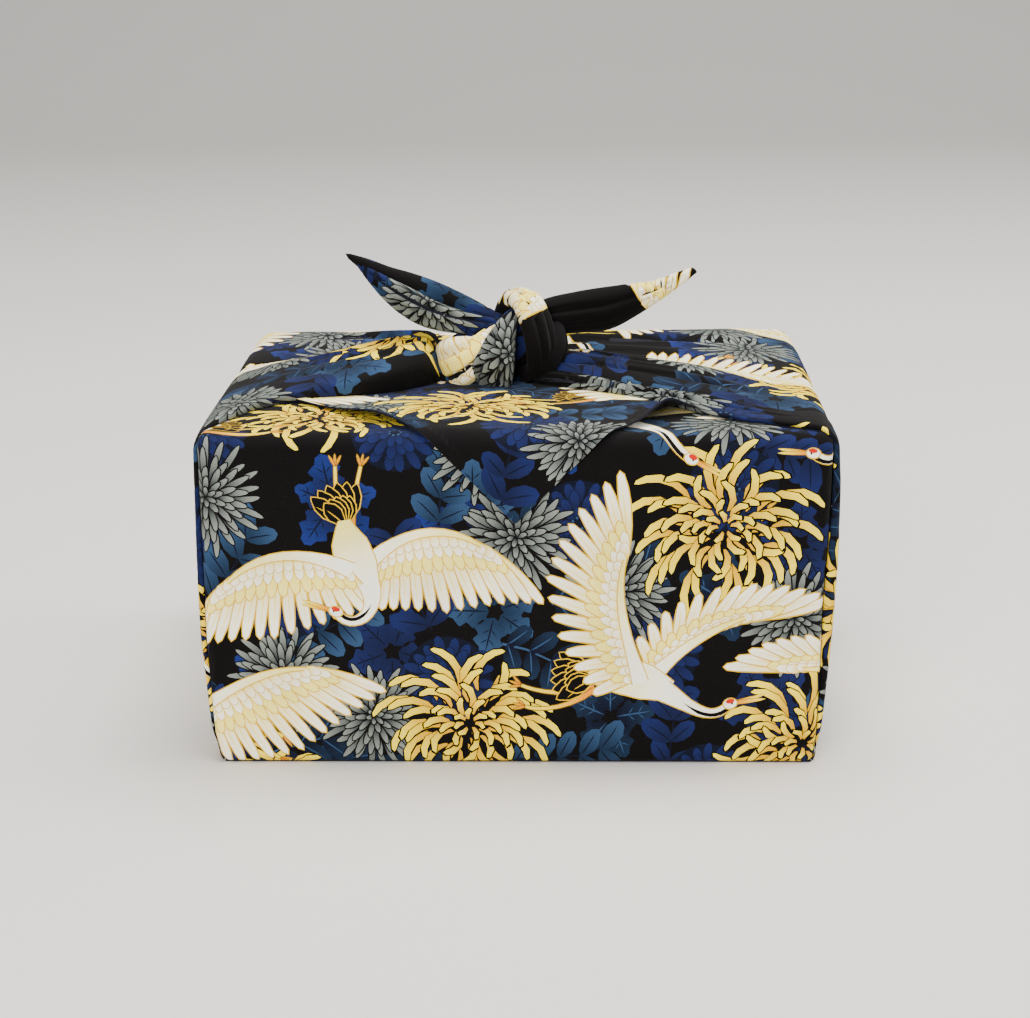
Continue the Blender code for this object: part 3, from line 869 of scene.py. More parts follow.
@dataclass
class Cutter:
    """Cuts strips out of the print and builds their meshes.

    Attributes:
        design: the print.
        thickness: thickness of the cloth.
    """

    design: Print
    thickness: float = CLOTH_THICKNESS

    @staticmethod
    def upward(flat: Array, triangles: Array) -> Array:
        """Return the triangles with their corners in anticlockwise order."""
        a, b, c = (flat[triangles[:, k]] for k in range(3))
        turned = (b[:, 0] - a[:, 0]) * (c[:, 1] - a[:, 1]) < (b[:, 1] - a[:, 1]) * (c[:, 0] - a[:, 0])
        return np.where(turned[:, None], triangles[:, ::-1], triangles)

    def seen_edges(self, strip: Strip, patches: list[Patch]) -> tuple[Array, Array, Array]:
        """Find the edges that show once every patch is painted over the ones before it.

        The outline and all patches go into one constrained Delaunay triangulation. A triangle
        inside the outline takes the last patch that covers it, and an edge shows where the
        patches on its two sides differ.

        Args:
            strip: the stretch of cloth.
            patches: the patches on it, in painting order.

        Returns:
            Flat points, directed edges, and the patch to the left of each, 0 for bare ground.
        """
        loops = [strip.border()] + [strip.from_print(patch.outline) for patch in patches]
        loops = [loop if signed_area(loop) > 0.0 else loop[::-1] for loop in loops]
        ends = np.cumsum([len(loop) for loop in loops])
        faces = [list(range(end - len(loop), end)) for loop, end in zip(loops, ends)]
        points = [Vector(point) for point in np.vstack(loops).tolist()]
        result = delaunay_2d_cdt(points, [], faces, 0, 1e-4)
        keep = [(face, max(owners)) for face, owners in zip(result[2], result[5]) if 0 in owners]
        flat = np.array([tuple(point) for point in result[0]])
        triangles = self.upward(flat, np.array([face for face, _ in keep], dtype=np.int64))
        owner = np.repeat(np.array([number for _, number in keep], dtype=np.int64), 3)
        edges = directed_edges(triangles)
        key = edges[:, 0] * len(flat) + edges[:, 1]
        match = find_keys(key, edges[:, 1] * len(flat) + edges[:, 0])
        seen = np.where(match >= 0, owner[match], -1) != owner
        return flat, edges[seen], owner[seen]

    def triangles(self, strip: Strip, patches: list[Patch]) -> tuple[Array, Array, Array]:
        """Triangulate a strip from the edges that show and its grid points.

        A triangle with a showing edge takes the patch on that side of it. The others take
        their neighbour's patch, again and again, across the edges that do not show.

        Args:
            strip: the stretch of cloth.
            patches: the patches on it, in painting order.

        Returns:
            Flat points, triangles, and the number of each triangle's patch, 0 for bare ground.
        """
        flat, edges, left = self.seen_edges(strip, patches)
        used, packed = np.unique(edges, return_inverse=True)
        edges = packed.reshape(-1, 2)
        points = np.vstack([flat[used], strip.inner_points(strip.spacing)])
        lines = np.unique(np.sort(edges, axis=1), axis=0)
        result = triangulate(points, lines, 1e-5)
        total = len(result[0]) + len(points)
        source = np.array([min(ids) if ids else len(points) + number
                           for number, ids in enumerate(result[3])], dtype=np.int64)
        place = np.zeros((total, 2))
        place[source] = np.array([tuple(point) for point in result[0]])
        found = self.upward(place, source[np.array(result[2], dtype=np.int64)])
        mine = directed_edges(found)
        key = edges[:, 0] * total + edges[:, 1]
        want = mine[:, 0] * total + mine[:, 1]
        match = find_keys(key, want)
        owner = np.where(match >= 0, left[match], -1).reshape(-1, 3).max(axis=1)
        shown = np.concatenate([key, edges[:, 1] * total + edges[:, 0]])
        hidden = np.flatnonzero(find_keys(shown, want) < 0)
        match = find_keys(want, mine[hidden, 1] * total + mine[hidden, 0])
        here, there = hidden[match >= 0] // 3, match[match >= 0] // 3
        changed = True
        while changed:
            take = (owner[here] < 0) & (owner[there] >= 0)
            changed = bool(take.any())
            owner[here[take]] = owner[there[take]]
        inside = strip.contains(place[found].mean(axis=1))
        found, owner = found[inside], np.maximum(owner[inside], 0)
        used, packed = np.unique(found, return_inverse=True)
        return place[used], packed.reshape(-1, 3), owner

    @staticmethod
    def rim(triangles: Array) -> Array:
        """Return the directed edges that only one triangle uses."""
        edges = directed_edges(triangles)
        key = np.sort(edges, axis=1)
        _, first, count = np.unique(key, axis=0, return_index=True, return_counts=True)
        return edges[first[count == 1]]

    def reverse_side(self, strip: Strip, flat: Array, rim: Array) -> tuple[Array, Array]:
        """Triangulate the unprinted side with the same rim and a coarser grid.

        Args:
            strip: the stretch of cloth.
            flat: flat points of the printed side.
            rim: directed rim edges of the printed side.

        Returns:
            Extra flat points, and triangles that count the rim's points first.
        """
        names = np.unique(rim)
        local = np.searchsorted(names, rim)
        extra = strip.inner_points((2 * strip.spacing[0], 2 * strip.spacing[1]))
        points = np.vstack([flat[names], extra])
        result = triangulate(points, local, 1e-7)
        source = np.array([min(ids) for ids in result[3]], dtype=np.int64)
        found = source[np.array(result[2], dtype=np.int64)]
        return extra, found[strip.contains(points[found].mean(axis=1))]

    def build(self, strip: Strip, material: bpy.types.Material) -> bpy.types.Object:
        """The unprinted side lies one thickness inside the printed side, and quads close the rim.

        Args:
            strip: the stretch of cloth.
            material: its finish.

        Returns:
            The finished piece.
        """
        corners = strip.to_print(strip.border())
        patches = self.design.within(corners.min(axis=0), corners.max(axis=0))
        flat, front, owner = self.triangles(strip, patches)
        place, normal = strip.lift(flat)
        if np.sum(face_normals(place, front) * normal[front].mean(axis=1)) < 0.0:
            front = front[:, ::-1]
        rim = self.rim(front)
        names = np.unique(rim)
        extra, back = self.reverse_side(strip, flat, rim)
        back_flat = np.vstack([flat[names], extra])
        back_place, back_normal = strip.lift(back_flat)
        back_place = back_place - self.thickness * back_normal
        back = back + len(flat)
        every = np.vstack([place, back_place])
        if np.sum(face_normals(every, back) * back_normal[back - len(flat)].mean(axis=1)) > 0.0:
            back = back[:, ::-1]
        below = np.searchsorted(names, rim) + len(flat)
        wall = np.stack([rim[:, 1], rim[:, 0], below[:, 0], below[:, 1]], axis=1)
        wall = np.vstack([wall[:, [0, 1, 2]], wall[:, [0, 2, 3]]])
        faces = np.vstack([front, back, wall])

        mesh = bpy.data.meshes.new(strip.name)
        mesh.vertices.add(len(every))
        mesh.vertices.foreach_set("co", (every * MM).ravel())
        mesh.loops.add(3 * len(faces))
        mesh.loops.foreach_set("vertex_index", faces.ravel())
        mesh.polygons.add(len(faces))
        mesh.polygons.foreach_set("loop_start", np.arange(len(faces)) * 3)
        mesh.update(calc_edges=True)
        self.colour(mesh, strip, patches, flat, front, owner, len(faces))
        self.map_flat(mesh, strip, np.vstack([flat, back_flat]), faces, len(front))
        self.shade(mesh, normal, back_normal, front, back, wall, every)
        mesh.materials.append(material)
        return Piece(strip.name, mesh, strip).declare()

    @staticmethod
    def colour(mesh: bpy.types.Mesh, strip: Strip, patches: list[Patch], flat: Array, front: Array,
               owner: Array, total: int) -> None:
        """Write the print: each corner's ink, blended from root to tip, with its gilt as alpha."""
        root = np.array([Ink.GROUND.linear()] + [patch.root.linear() for patch in patches])
        tip = np.array([Ink.GROUND.linear()] + [patch.tip.linear() for patch in patches])
        start = np.array([(0.0, 0.0)] + [patch.start for patch in patches])
        run = np.array([(1.0, 0.0)] + [patch.end for patch in patches]) - start
        gilt = np.array([0.0] + [patch.gilt for patch in patches])
        place = strip.to_print(flat)[front] - start[owner][:, None, :]
        length = np.maximum(np.sum(run * run, axis=1), 1e-6)
        share = np.einsum("ijk,ik->ij", place, run[owner]) / length[owner][:, None]
        share = smooth_step(0.0, 1.0, share)[:, :, None]
        tone = root[owner][:, None, :] * (1.0 - share) + tip[owner][:, None, :] * share
        values = np.ones((total, 3, 4))
        values[:, :, :3] = Ink.REVERSE.linear()
        values[:, :, 3] = 0.0
        values[: len(front), :, :3] = tone
        values[: len(front), :, 3] = gilt[owner][:, None]
        layer = mesh.color_attributes.new("print", "FLOAT_COLOR", "CORNER")
        layer.data.foreach_set("color", values.ravel())

    @staticmethod
    def map_flat(mesh: bpy.types.Mesh, strip: Strip, flat: Array, faces: Array, printed: int) -> None:
        """Write two maps: the flat cloth in metres, and one fitted to a square for a picture.

        On the fitted map the printed side fills the left four fifths and the other the rest.
        """
        cloth = strip.to_print(flat) * MM
        mesh.uv_layers.new(name="cloth").data.foreach_set("uv", cloth[faces].ravel())
        share = (flat - flat.min(axis=0)) / np.ptp(flat, axis=0)
        fitted = share[faces]
        fitted[:printed, :, 0] = 0.01 + 0.78 * fitted[:printed, :, 0]
        fitted[printed:, :, 0] = 0.82 + 0.17 * fitted[printed:, :, 0]
        fitted[:, :, 1] = 0.01 + 0.98 * fitted[:, :, 1]
        mesh.uv_layers.new(name="OFBake").data.foreach_set("uv", fitted.ravel())

    @staticmethod
    def shade(mesh: bpy.types.Mesh, normal: Array, back_normal: Array, front: Array, back: Array,
              wall: Array, every: Array) -> None:
        """Set smooth normals from the strip's own surface, and flat ones round the rim."""
        first = normal[front]
        second = -back_normal[back - len(normal)]
        third = np.repeat(unit(face_normals(every, wall))[:, None, :], 3, axis=1)
        mesh.polygons.foreach_set("use_smooth", np.ones(len(mesh.polygons), dtype=bool))
        corner = np.vstack([first, second, third]).reshape(-1, 3)
        mesh.normals_split_custom_set(corner.tolist())


@dataclass
class Piece:
    """A finished piece of cloth and what it says about itself.

    Attributes:
        name: its name.
        mesh: its mesh.
        strip: the stretch of cloth that it was cut from.
    """

    name: str
    mesh: bpy.types.Mesh
    strip: Strip

    def declare(self) -> bpy.types.Object:
        """Put the piece in the scene, hang it on the body, hide the part that it replaces and log its
        size.
        """
        piece = bpy.data.objects.new(self.name, self.mesh)
        bpy.context.scene.collection.objects.link(piece)
        width, length, area = self.strip.flat_size()
        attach(piece, BODY)
        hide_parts(NODE)
        LOG.info("%s: %d triangles, %.0f x %.0f mm flat", self.name, len(self.mesh.polygons),
                 1000 * width, 1000 * length)
        return piece


def smooth_rows(rows: Array | tuple, place: Array) -> Array:
    """Read a table between its rows with a Catmull-Rom curve.

    Args:
        rows: the table. Its first column is the place of each row.
        place: places to read at.

    Returns:
        The other columns at each place.
    """
    table = np.asarray(rows, dtype=float)
    values = np.vstack([2.0 * table[0] - table[1], table, 2.0 * table[-1] - table[-2]])[:, 1:]
    spot = np.interp(place, table[:, 0], np.arange(len(table)))
    index = np.minimum(spot.astype(int), len(table) - 2)
    t = (spot - index)[:, None]
    a, b, c, d = (values[index + k] for k in range(4))
    return 0.5 * (2 * b + (c - a) * t + (2 * a - 5 * b + 4 * c - d) * t**2
                  + (3 * b - a - 3 * c + d) * t**3)


def smooth_step(low: float, high: float, value: Array) -> Array:
    """Rise from 0 at low to 1 at high as 3t^2 - 2t^3."""
    t = np.clip((value - low) / (high - low), 0.0, 1.0)
    return t * t * (3.0 - 2.0 * t)


def fit_to_edge(flat: Array, edge: Array, low: float, high: float) -> Array:
    """Fit flat distances from the middle to a fold edge: scaled first, and shifted near the edge.

    Args:
        flat: flat distance from the middle.
        edge: distance of the fold edge from the middle.
        low: where the shift begins to take over.
        high: where it is all shift.

    Returns:
        The fitted distances.
    """
    blend = smooth_step(low, high, flat)
    return flat * (edge / HALF_WIDTH) * (1 - blend) + (flat + edge - HALF_WIDTH) * blend


def round_upright(size: Array, edge: Array, share: Array | float = 1.0) -> tuple[Array, Array]:
    """Lead cloth straight to a fold edge, round a quarter circle and then straight inwards.

    Args:
        size: distance from the middle along the cloth.
        edge: distance of the fold edge from the middle.
        share: 1 where the cloth goes round, 0 where it stays flat.

    Returns:
        The distance from the middle in space, and how far inwards the cloth lies.
    """
    over = np.clip(size - (edge - UPRIGHT_RADIUS), 0.0, None) * share
    angle = np.clip(over / UPRIGHT_RADIUS, 0.0, QUARTER_TURN)
    past = np.clip(over - QUARTER_TURN * UPRIGHT_RADIUS, 0.0, None)
    inner = np.where(over > 0.0, edge - UPRIGHT_RADIUS, size)
    return inner + UPRIGHT_RADIUS * np.sin(angle), UPRIGHT_RADIUS * (1.0 - np.cos(angle)) + past


def off_route(x: Array, points: Array, facing: Array, inward: Array) -> Array:
    """Return places in space: x as given, with y and z moved inwards off a route.

    Args:
        x: stations by columns.
        points: y and z of each station.
        facing: outward unit vector of each station.
        inward: how far inwards each place lies.

    Returns:
        Stations by columns by three.
    """
    y, z = (points[:, k : k + 1] - facing[:, k : k + 1] * inward for k in (0, 1))
    return np.stack([x, y, z], axis=-1)


@dataclass
class Path2:
    """A route in a plane built from straight runs and arcs, with its outward side.

    Attributes:
        points: places so far.
        facing: outward unit vectors so far.
    """

    points: list = field(default_factory=list)
    facing: list = field(default_factory=list)

    def run(self, start: tuple, end: tuple, facing: tuple, step: float) -> Path2:
        """Add a straight run from start to end."""
        count = max(int(math.dist(start, end) / step), 1)
        share = (np.arange(count) + 0.5)[:, None] / count
        self.points.append(np.array(start) * (1 - share) + np.array(end) * share)
        self.facing.append(np.repeat([facing], count, axis=0).astype(float))
        return self

    def arc(self, centre: tuple, radius: float, first: float, last: float, count: int) -> Path2:
        """Add an arc about a centre, between two angles in degrees."""
        angle = np.radians(np.linspace(first, last, count))
        facing = np.stack([np.cos(angle), np.sin(angle)], axis=1)
        self.points.append(np.array(centre) + radius * facing)
        self.facing.append(facing)
        return self

    def arrays(self) -> tuple[Array, Array, Array]:
        """Return places, outward vectors and the length run so far."""
        points = np.vstack(self.points)
        length = np.concatenate([[0.0], np.cumsum(np.linalg.norm(np.diff(points, axis=0), axis=1))])
        return points, np.vstack(self.facing), length


@dataclass
class FrontPanel:
    """The front of the wrap: cloth up the front face, over the top edge and back under the bands.

    Attributes:
        left_fold: rows of height and distance of the left fold edge from the middle.
        right_fold: the same for the right fold edge.
        wrap: how far the cloth goes round each upright edge.
        reach_back: where the cloth ends on the top.
    """

    left_fold: tuple = ((0, 86.2), (9, 88.2), (20, 88.8), (37, 89.6), (60, 89.7), (98, 90.0),
                        (130, 89.5))
    right_fold: tuple = ((0, 86.0), (9, 86.9), (30, 87.5), (50, 87.8), (63, 88.6), (80, 89.4),
                         (98, 89.6), (130, 89.0))
    wrap: float = 6.4
    reach_back: float = -12.0

    def strip(self) -> Strip:
        """Return the panel: x follows the fold edges, and the ends turn in round the uprights.

        Across, a point runs straight to the edge, round a quarter circle of the upright's
        radius and then straight inwards. Up, it follows the base edge, face, top edge and top.
        """
        depth = -HALF_DEPTH
        path = (Path2()
                .arc((depth + BASE_RADIUS, BASE_RADIUS + FLOOR_GAP), BASE_RADIUS, 250.0, 180.0, 7)
                .run((depth, BASE_RADIUS + FLOOR_GAP), (depth, HEIGHT - TOP_RADIUS), (-1, 0), 1.6)
                .arc((depth + TOP_RADIUS, HEIGHT - TOP_RADIUS), TOP_RADIUS, 180.0, 90.0, 13)
                .run((depth + TOP_RADIUS, HEIGHT), (self.reach_back, HEIGHT), (0, 1), 1.6))
        points, facing, length = path.arrays()
        half = HALF_WIDTH + self.wrap
        grid = np.linspace(-half, half, PANEL_COLUMNS)[None, :]
        left = np.interp(length, *zip(*self.left_fold))
        right = np.interp(length, *zip(*self.right_fold))
        edge = np.where(grid < 0.0, left[:, None], right[:, None])
        size, inward = round_upright(fit_to_edge(np.abs(grid), edge, 40.0, 80.0), edge)
        x = np.sign(grid) * size
        rise = length[:, None]
        ripple = 0.30 * np.sin(x / 23.0 + rise / 31.0) + 0.22 * np.sin(x / 11.0 - rise / 19.0 + 1.3)
        ripple += 0.5 * np.exp(-((rise - 88.0) / 9.0) ** 2) * np.sin(x / 17.0 + 0.6)
        ripple = ripple * np.clip(1.0 - inward / 2.0, 0.0, 1.0) * smooth_step(2.0, 14.0, rise) * 0.8
        space = off_route(x, points, facing, inward - ripple)
        rows = len(length)
        return Strip("front_panel", space, length, np.full(rows, -half), np.full(rows, half),
                     Grain.UP_FRONT, (0.0, HALF_DEPTH), (2, 3))


@dataclass
class BackPanel:
    """The back of the wrap and its corner, which lies over the top and hangs down the front.

    Attributes:
        drop: how far the corner hangs below the top of the front edge.
        offset: how far it lies outside the front panel.
        left_lift: how far its left free edge stands off the top.
        right_lift: how far its right edge arches up in front of the right band.
        fold: rows of height and distance of the fold edges of the back from the middle.
        span: flat half width on the top.
        wrap: how far the cloth goes round each upright edge of the back.
        turning: flat lengths from the tip between which it begins to go round them.
        tip: half width of the blunt tip.
    """

    drop: float = 25.5
    offset: float = LAYER_STEP
    left_lift: float = 2.2
    right_lift: float = 5.4
    fold: tuple = ((0, 86.2), (9, 88.0), (40, 88.9), (98, 89.8))
    span: float = 87.5
    wrap: float = 7.0
    turning: tuple[float, float] = (174.0, 184.0)
    tip: float = 0.4

    def strips(self) -> list[Strip]:
        """Return the panel from the hanging tip to the base of the back face, in two stretches.

        The flat half width grows by one for each unit from the tip, as at the corner of a
        square cloth, until it fills the face. On the top the free edges stand off by a
        bell-shaped lift that dies away from the edge.
        """
        front = -HALF_DEPTH - self.offset
        top = HEIGHT + self.offset
        radius = TOP_RADIUS + self.offset
        corner_y = -HALF_DEPTH + TOP_RADIUS
        corner_z = HEIGHT - TOP_RADIUS
        back = HALF_DEPTH
        path = (Path2()
                .run((front, HEIGHT - self.drop), (front, corner_z), (-1, 0), 0.8)
                .arc((corner_y, corner_z), radius, 180.0, 90.0, 13)
                .run((corner_y, top), (back - radius, top), (0, 1), 1.5)
                .arc((back - radius, top - radius), radius, 90.0, 0.0, 13)
                .run((back, top - radius), (back, BASE_RADIUS + FLOOR_GAP), (1, 0), 1.8)
                .arc((back - BASE_RADIUS, BASE_RADIUS + FLOOR_GAP), BASE_RADIUS, 0.0, -70.0, 7))
        points, facing, length = path.arrays()
        length = length + self.tip
        reach = smooth_step(*self.turning, length)[:, None]
        flat_half = np.minimum(length, self.span) + reach[:, 0] * (HALF_WIDTH + self.wrap - self.span)
        flat = np.linspace(-1.0, 1.0, PANEL_COLUMNS)[None, :] * flat_half[:, None]
        edge = np.interp(points[:, 1], *zip(*self.fold))[:, None]
        size = fit_to_edge(np.abs(flat), edge, 60.0, 84.0)
        size = np.abs(flat) * (1 - reach) + size * reach
        size, inward = round_upright(size, edge, reach)
        x = np.sign(flat) * size
        rise = length[:, None]
        free = flat_half[:, None] - np.abs(flat)
        on_top = smooth_step(8.0, 14.0, facing[:, 1:2] * rise - self.drop + 6.0)
        left = self.left_lift * np.exp(-((flat + 41.0) / 11.0) ** 2) * (flat < 0.0)
        right = self.right_lift * np.exp(-((flat - 43.5) / 6.5) ** 2) * (flat > 0.0)
        lift = (left * np.exp(-(free / 7.0) ** 2) + right * np.exp(-(free / 8.0) ** 2)) * on_top
        sag = 0.35 * np.sin(x / 19.0 + rise / 15.0) + 0.25 * np.sin(x / 9.0 - rise / 23.0)
        lift = lift + np.clip(sag, -0.25, 1.0) * smooth_step(12.0, 40.0, rise) * (reach < 0.5)
        hem = 0.35 * smooth_step(5.0, 4.2, free) * (rise < 95.0)
        space = off_route(x, points, facing, inward - lift - hem)
        whole = Strip("back", space, length, -flat_half, flat_half, Grain.UP_FRONT,
                      (0.0, -CORNER_REACH), (2, 3), "draped")
        rows = len(length) - 1
        seam = int(np.searchsorted(points[:, 0], back - radius))
        return [whole.part("top_flap", 0, seam), whole.part("back_panel", seam, rows)]


@dataclass
class SideRolls:
    """A side of the wrap: cloth up the side face, over the edge and in rolls to the knot.

    Attributes:
        name: start of the pieces' names.
        side: -1 on the left, 1 on the right.
        rows: a table whose rows are sections. Its columns are the length from the base edge,
            then the y of each valley with the height of the crest between them.
        fold: rows of height and distance of the fold edge from the middle.
        stop: where the rolls end, measured in x from the middle.
        grain: how the rolls lie on the print.
    """

    name: str
    side: float
    rows: tuple
    fold: tuple
    stop: float
    grain: Grain

    def path(self) -> tuple[Array, Array, Array]:
        """Return the base route in x and z: up the face, round the top edge and inwards."""
        foot = BASE_RADIUS + 2.0 * FLOOR_GAP
        top_reach = HALF_WIDTH - TOP_RADIUS
        route = (Path2()
                 .arc((BASE_HALF_WIDTH - BASE_RADIUS, foot), BASE_RADIUS, -70.0, 0.0, 7)
                 .run((BASE_HALF_WIDTH, foot), (HALF_WIDTH, HEIGHT - TOP_RADIUS), (1, 0), 1.6)
                 .arc((top_reach, HEIGHT - TOP_RADIUS), TOP_RADIUS, 0.0, 90.0, 13)
                 .run((top_reach, HEIGHT), (self.stop, HEIGHT), (0, 1), 1.0))
        return route.arrays()

    def section(self, number: int, count: int, table: Array, length: Array) -> tuple[Array, Array]:
        """Return y and height of one roll at every station.

        A roll rises from its front valley to its crest as a quarter of a superellipse and
        falls to the next valley as a quarter ellipse. An outer roll starts tucked under.

        Args:
            number: which roll, from the front.
            count: how many rolls the side has.
            table: the rows at every station.
            length: length from the base edge of every station.

        Returns:
            Two arrays, stations by columns.
        """
        on_band = smooth_step(92.0, 116.0, length)[:, None]
        start = table[:, 2 * number][:, None]
        crest = table[:, 2 * number + 1][:, None]
        end = table[:, 2 * number + 2][:, None]
        place = start + (end - start) * (0.5 + 0.30 * on_band)
        depth = 0.06 + 0.66 * smooth_step(60.0, 116.0, length)[:, None]
        first = number == 0
        last = number == count - 1
        before = None if first else table[:, 2 * number - 1][:, None]
        after = None if last else table[:, 2 * number + 3][:, None]
        low = 0.45 * crest if first else (1 - depth) * np.minimum(crest, before)
        high = 0.45 * crest if last else (1 - depth) * np.minimum(crest, after)
        angle = np.linspace(0.0, QUARTER_TURN, ARC_POINTS)[None, :]
        power = 2.0 / (1.75 + 1.6 * (1 - on_band))
        y1 = place - (place - start) * np.cos(angle) ** power
        h1 = low + (crest - low) * np.sin(angle) ** power
        y2 = place + (end - place) * np.sin(angle) ** power
        h2 = high + (crest - high) * np.cos(angle) ** power
        ys, hs = [y1, y2[:, 1:]], [h1, h2[:, 1:]]
        tuck = np.linspace(0.0, QUARTER_TURN, TUCK_POINTS)[None, :]
        inset = 1.0 + 1.4 * on_band
        if first:
            ys.insert(0, start + inset * (1 - np.sin(tuck[:, :-1])))
            hs.insert(0, 0.2 + (low - 0.2) * (1 - np.cos(tuck[:, :-1])))
        if last:
            ys.append(end - inset * (1 - np.cos(tuck[:, 1:])))
            hs.append(0.2 + (high - 0.2) * (1 - np.sin(tuck[:, 1:])))
        return np.hstack(ys), np.hstack(hs)

    @staticmethod
    def pleats(share: Array, length: Array, rng: np.random.Generator) -> Array:
        """Return the fine pleats of a roll: bell-shaped valleys, each with a low ridge beside it.

        Args:
            share: place across the roll, from 0 to 1.
            length: length from the base edge of every station.
            rng: source of the random draws.

        Returns:
            What they add to the height, stations by columns.
        """
        height = np.zeros((len(length), len(share)))
        for place in rng.uniform(0.18, 0.82, 4):
            first = rng.uniform(96.0, 124.0)
            strength = smooth_step(first, first + 34.0, length)[:, None] * rng.uniform(0.7, 1.4)
            drift = place + 0.07 * np.sin(length / 30.0 + 9.0 * place)[:, None]
            height -= strength * np.exp(-((share[None, :] - drift) / 0.032) ** 2)
            height += 0.35 * strength * np.exp(-((share[None, :] - drift - 0.07) / 0.05) ** 2)
        return height

    def strips(self) -> list[Strip]:
        """Return one strip for each roll, with columns at even steps of real length."""
        points, facing, length = self.path()
        table = smooth_rows(self.rows, length)
        count = (table.shape[1] - 1) // 2
        lean = np.interp(points[:, 1], (0.0, HEIGHT), (BASE_HALF_WIDTH, HALF_WIDTH))
        fold = np.interp(points[:, 1], *zip(*self.fold)) - lean
        found = []
        rng = np.random.default_rng(7 if self.side < 0 else 8)
        share = np.linspace(0.0, 1.0, ROLL_COLUMNS)
        for number in range(count):
            section = self.section(number, count, table, length)
            size = np.linalg.norm(np.stack([np.diff(grid, axis=1) for grid in section]), axis=0)
            run = np.concatenate([np.zeros((len(size), 1)), np.cumsum(size, axis=1)], axis=1)
            even_y, even_h = (
                np.array([np.interp(share * far[-1], far, row) for far, row in zip(run, grid)])
                for grid in section)
            even_h = even_h + self.pleats(share, length, rng)
            edge = fold[:, None] * np.abs(facing[:, 0:1])
            x = self.side * (points[:, 0:1] + edge + facing[:, 0:1] * even_h)
            z = points[:, 1:2] + facing[:, 1:2] * even_h
            space = np.stack([x, even_y, z], axis=-1)
            centre = 0.5 * (table[0, 2 * number] + table[0, 2 * number + 2])
            middle = centre * (1.0 - 0.35 * smooth_step(100.0, 260.0, length))
            half = 0.5 * run[:, -1]
            found.append(Strip(f"{self.name}_{number + 1}", space, length, middle - half, middle + half,
                               self.grain, (self.side * HALF_WIDTH, 0.0), (2, 2), "gathered"))
        return found


@dataclass
class Strand:
    """A flattened strand of cloth in the knot, or a tail.

    Attributes:
        name: name of the piece.
        rows: rows of x, y, z, half width and half thickness.
        origin: (p, q) where the strand starts on the print.
        grooves: rows of place round the section and width in degrees, share of depth, and how
            far the groove turns round the section along the strand, in radians.
        up: direction of the width, or none for a strand that wraps the knot's middle.
        grain: how the strand lies on the print.
        power: squareness of the section, 1 for an ellipse.
        stations: stations along it.
        centre: the knot's middle.
    """

    name: str
    rows: tuple
    origin: tuple[float, float]
    grooves: tuple = ()
    up: tuple | None = None
    grain: Grain = Grain.LEFT_OUT
    power: float = 0.85
    stations: int = 64
    centre: tuple = (-3.0, 0.0, 110.0)

    def strip(self) -> Strip:
        """Return the strand: sections carried along a smooth route, with the seam inside.

        A section is an ellipse of width and thickness, with bell-shaped grooves in its radius.
        """
        table = np.asarray(self.rows, dtype=float)
        rows = smooth_rows(np.column_stack([np.arange(len(table)), table]),
                           np.linspace(0.0, len(table) - 1.0, self.stations))
        points = rows[:, :3]
        ahead = unit(np.gradient(points, axis=0))
        if self.up is None:
            wide = np.cross(ahead, points - np.array(self.centre))
        else:
            up = np.array(self.up)
            wide = up - ahead * (ahead @ up)[:, None]
        wide = unit(wide)
        thick = np.cross(wide, ahead)
        if self.up is not None and thick[:, 1].mean() > 0.0:
            thick = -thick
        angle = np.linspace(-0.5 * math.pi, 1.5 * math.pi, 97)
        radius = np.ones((self.stations, len(angle)))
        travel = np.linspace(0.0, 1.0, self.stations)[:, None]
        for place, spread, depth, swing in self.grooves:
            middle = math.radians(place) + swing * (travel - 0.5)
            turn = np.angle(np.exp(1j * (angle[None, :] - middle)))
            groove = depth * np.exp(-(turn / math.radians(spread)) ** 2)
            radius -= groove * np.sin(math.pi * travel) ** 0.3
        cosine, sine = (np.sign(wave) * np.abs(wave) ** self.power
                        for wave in (np.cos(angle), np.sin(angle)))
        across = (radius * cosine * rows[:, 3:4])[:, :, None] * wide[:, None, :]
        through = (radius * sine * rows[:, 4:5])[:, :, None] * thick[:, None, :]
        space = points[:, None, :] + across + through
        around = np.linalg.norm(np.diff(space, axis=1), axis=2).sum(axis=1)
        length = np.concatenate([[0.0], np.cumsum(np.linalg.norm(np.diff(points, axis=0), axis=1))])
        return Strip(self.name, space, length, -0.5 * around, 0.5 * around, self.grain, self.origin,
                     (2, 3), "gathered", points)


LEFT_ROLLS = SideRolls(
    "left_side", -1.0,
    ((0.0, -75.4, 0.1, 16.0, 0.1, 75.4),
     (12.0, -75.4, 1.7, 16.0, 1.7, 75.4),
     (50.0, -75.4, 2.8, 16.0, 2.8, 75.4),
     (84.0, -75.2, 2.2, 16.0, 2.2, 75.2),
     (95.0, -74.0, 2.0, 16.0, 2.0, 74.6),
     (101.0, -64.0, 2.6, 16.0, 2.8, 71.0),
     (108.0, -48.0, 4.4, 15.0, 4.6, 64.0),
     (116.0, -39.0, 6.2, 12.0, 6.0, 57.0),
     (126.0, -34.0, 8.2, 9.0, 7.2, 50.0),
     (140.0, -29.0, 11.6, 7.0, 8.8, 42.0),
     (151.0, -22.0, 14.0, 7.0, 9.8, 36.0),
     (156.5, -16.0, 14.4, 7.0, 10.0, 31.0),
     (159.5, -12.0, 11.5, 6.0, 9.0, 25.0),
     (161.5, -8.0, 6.0, 5.0, 6.0, 16.0),
     (170.0, -7.0, 5.0, 3.0, 5.0, 13.0),
     (181.0, -5.0, 3.0, 2.0, 3.0, 10.0)),
    FrontPanel.left_fold, 5.0, Grain.LEFT_OUT)

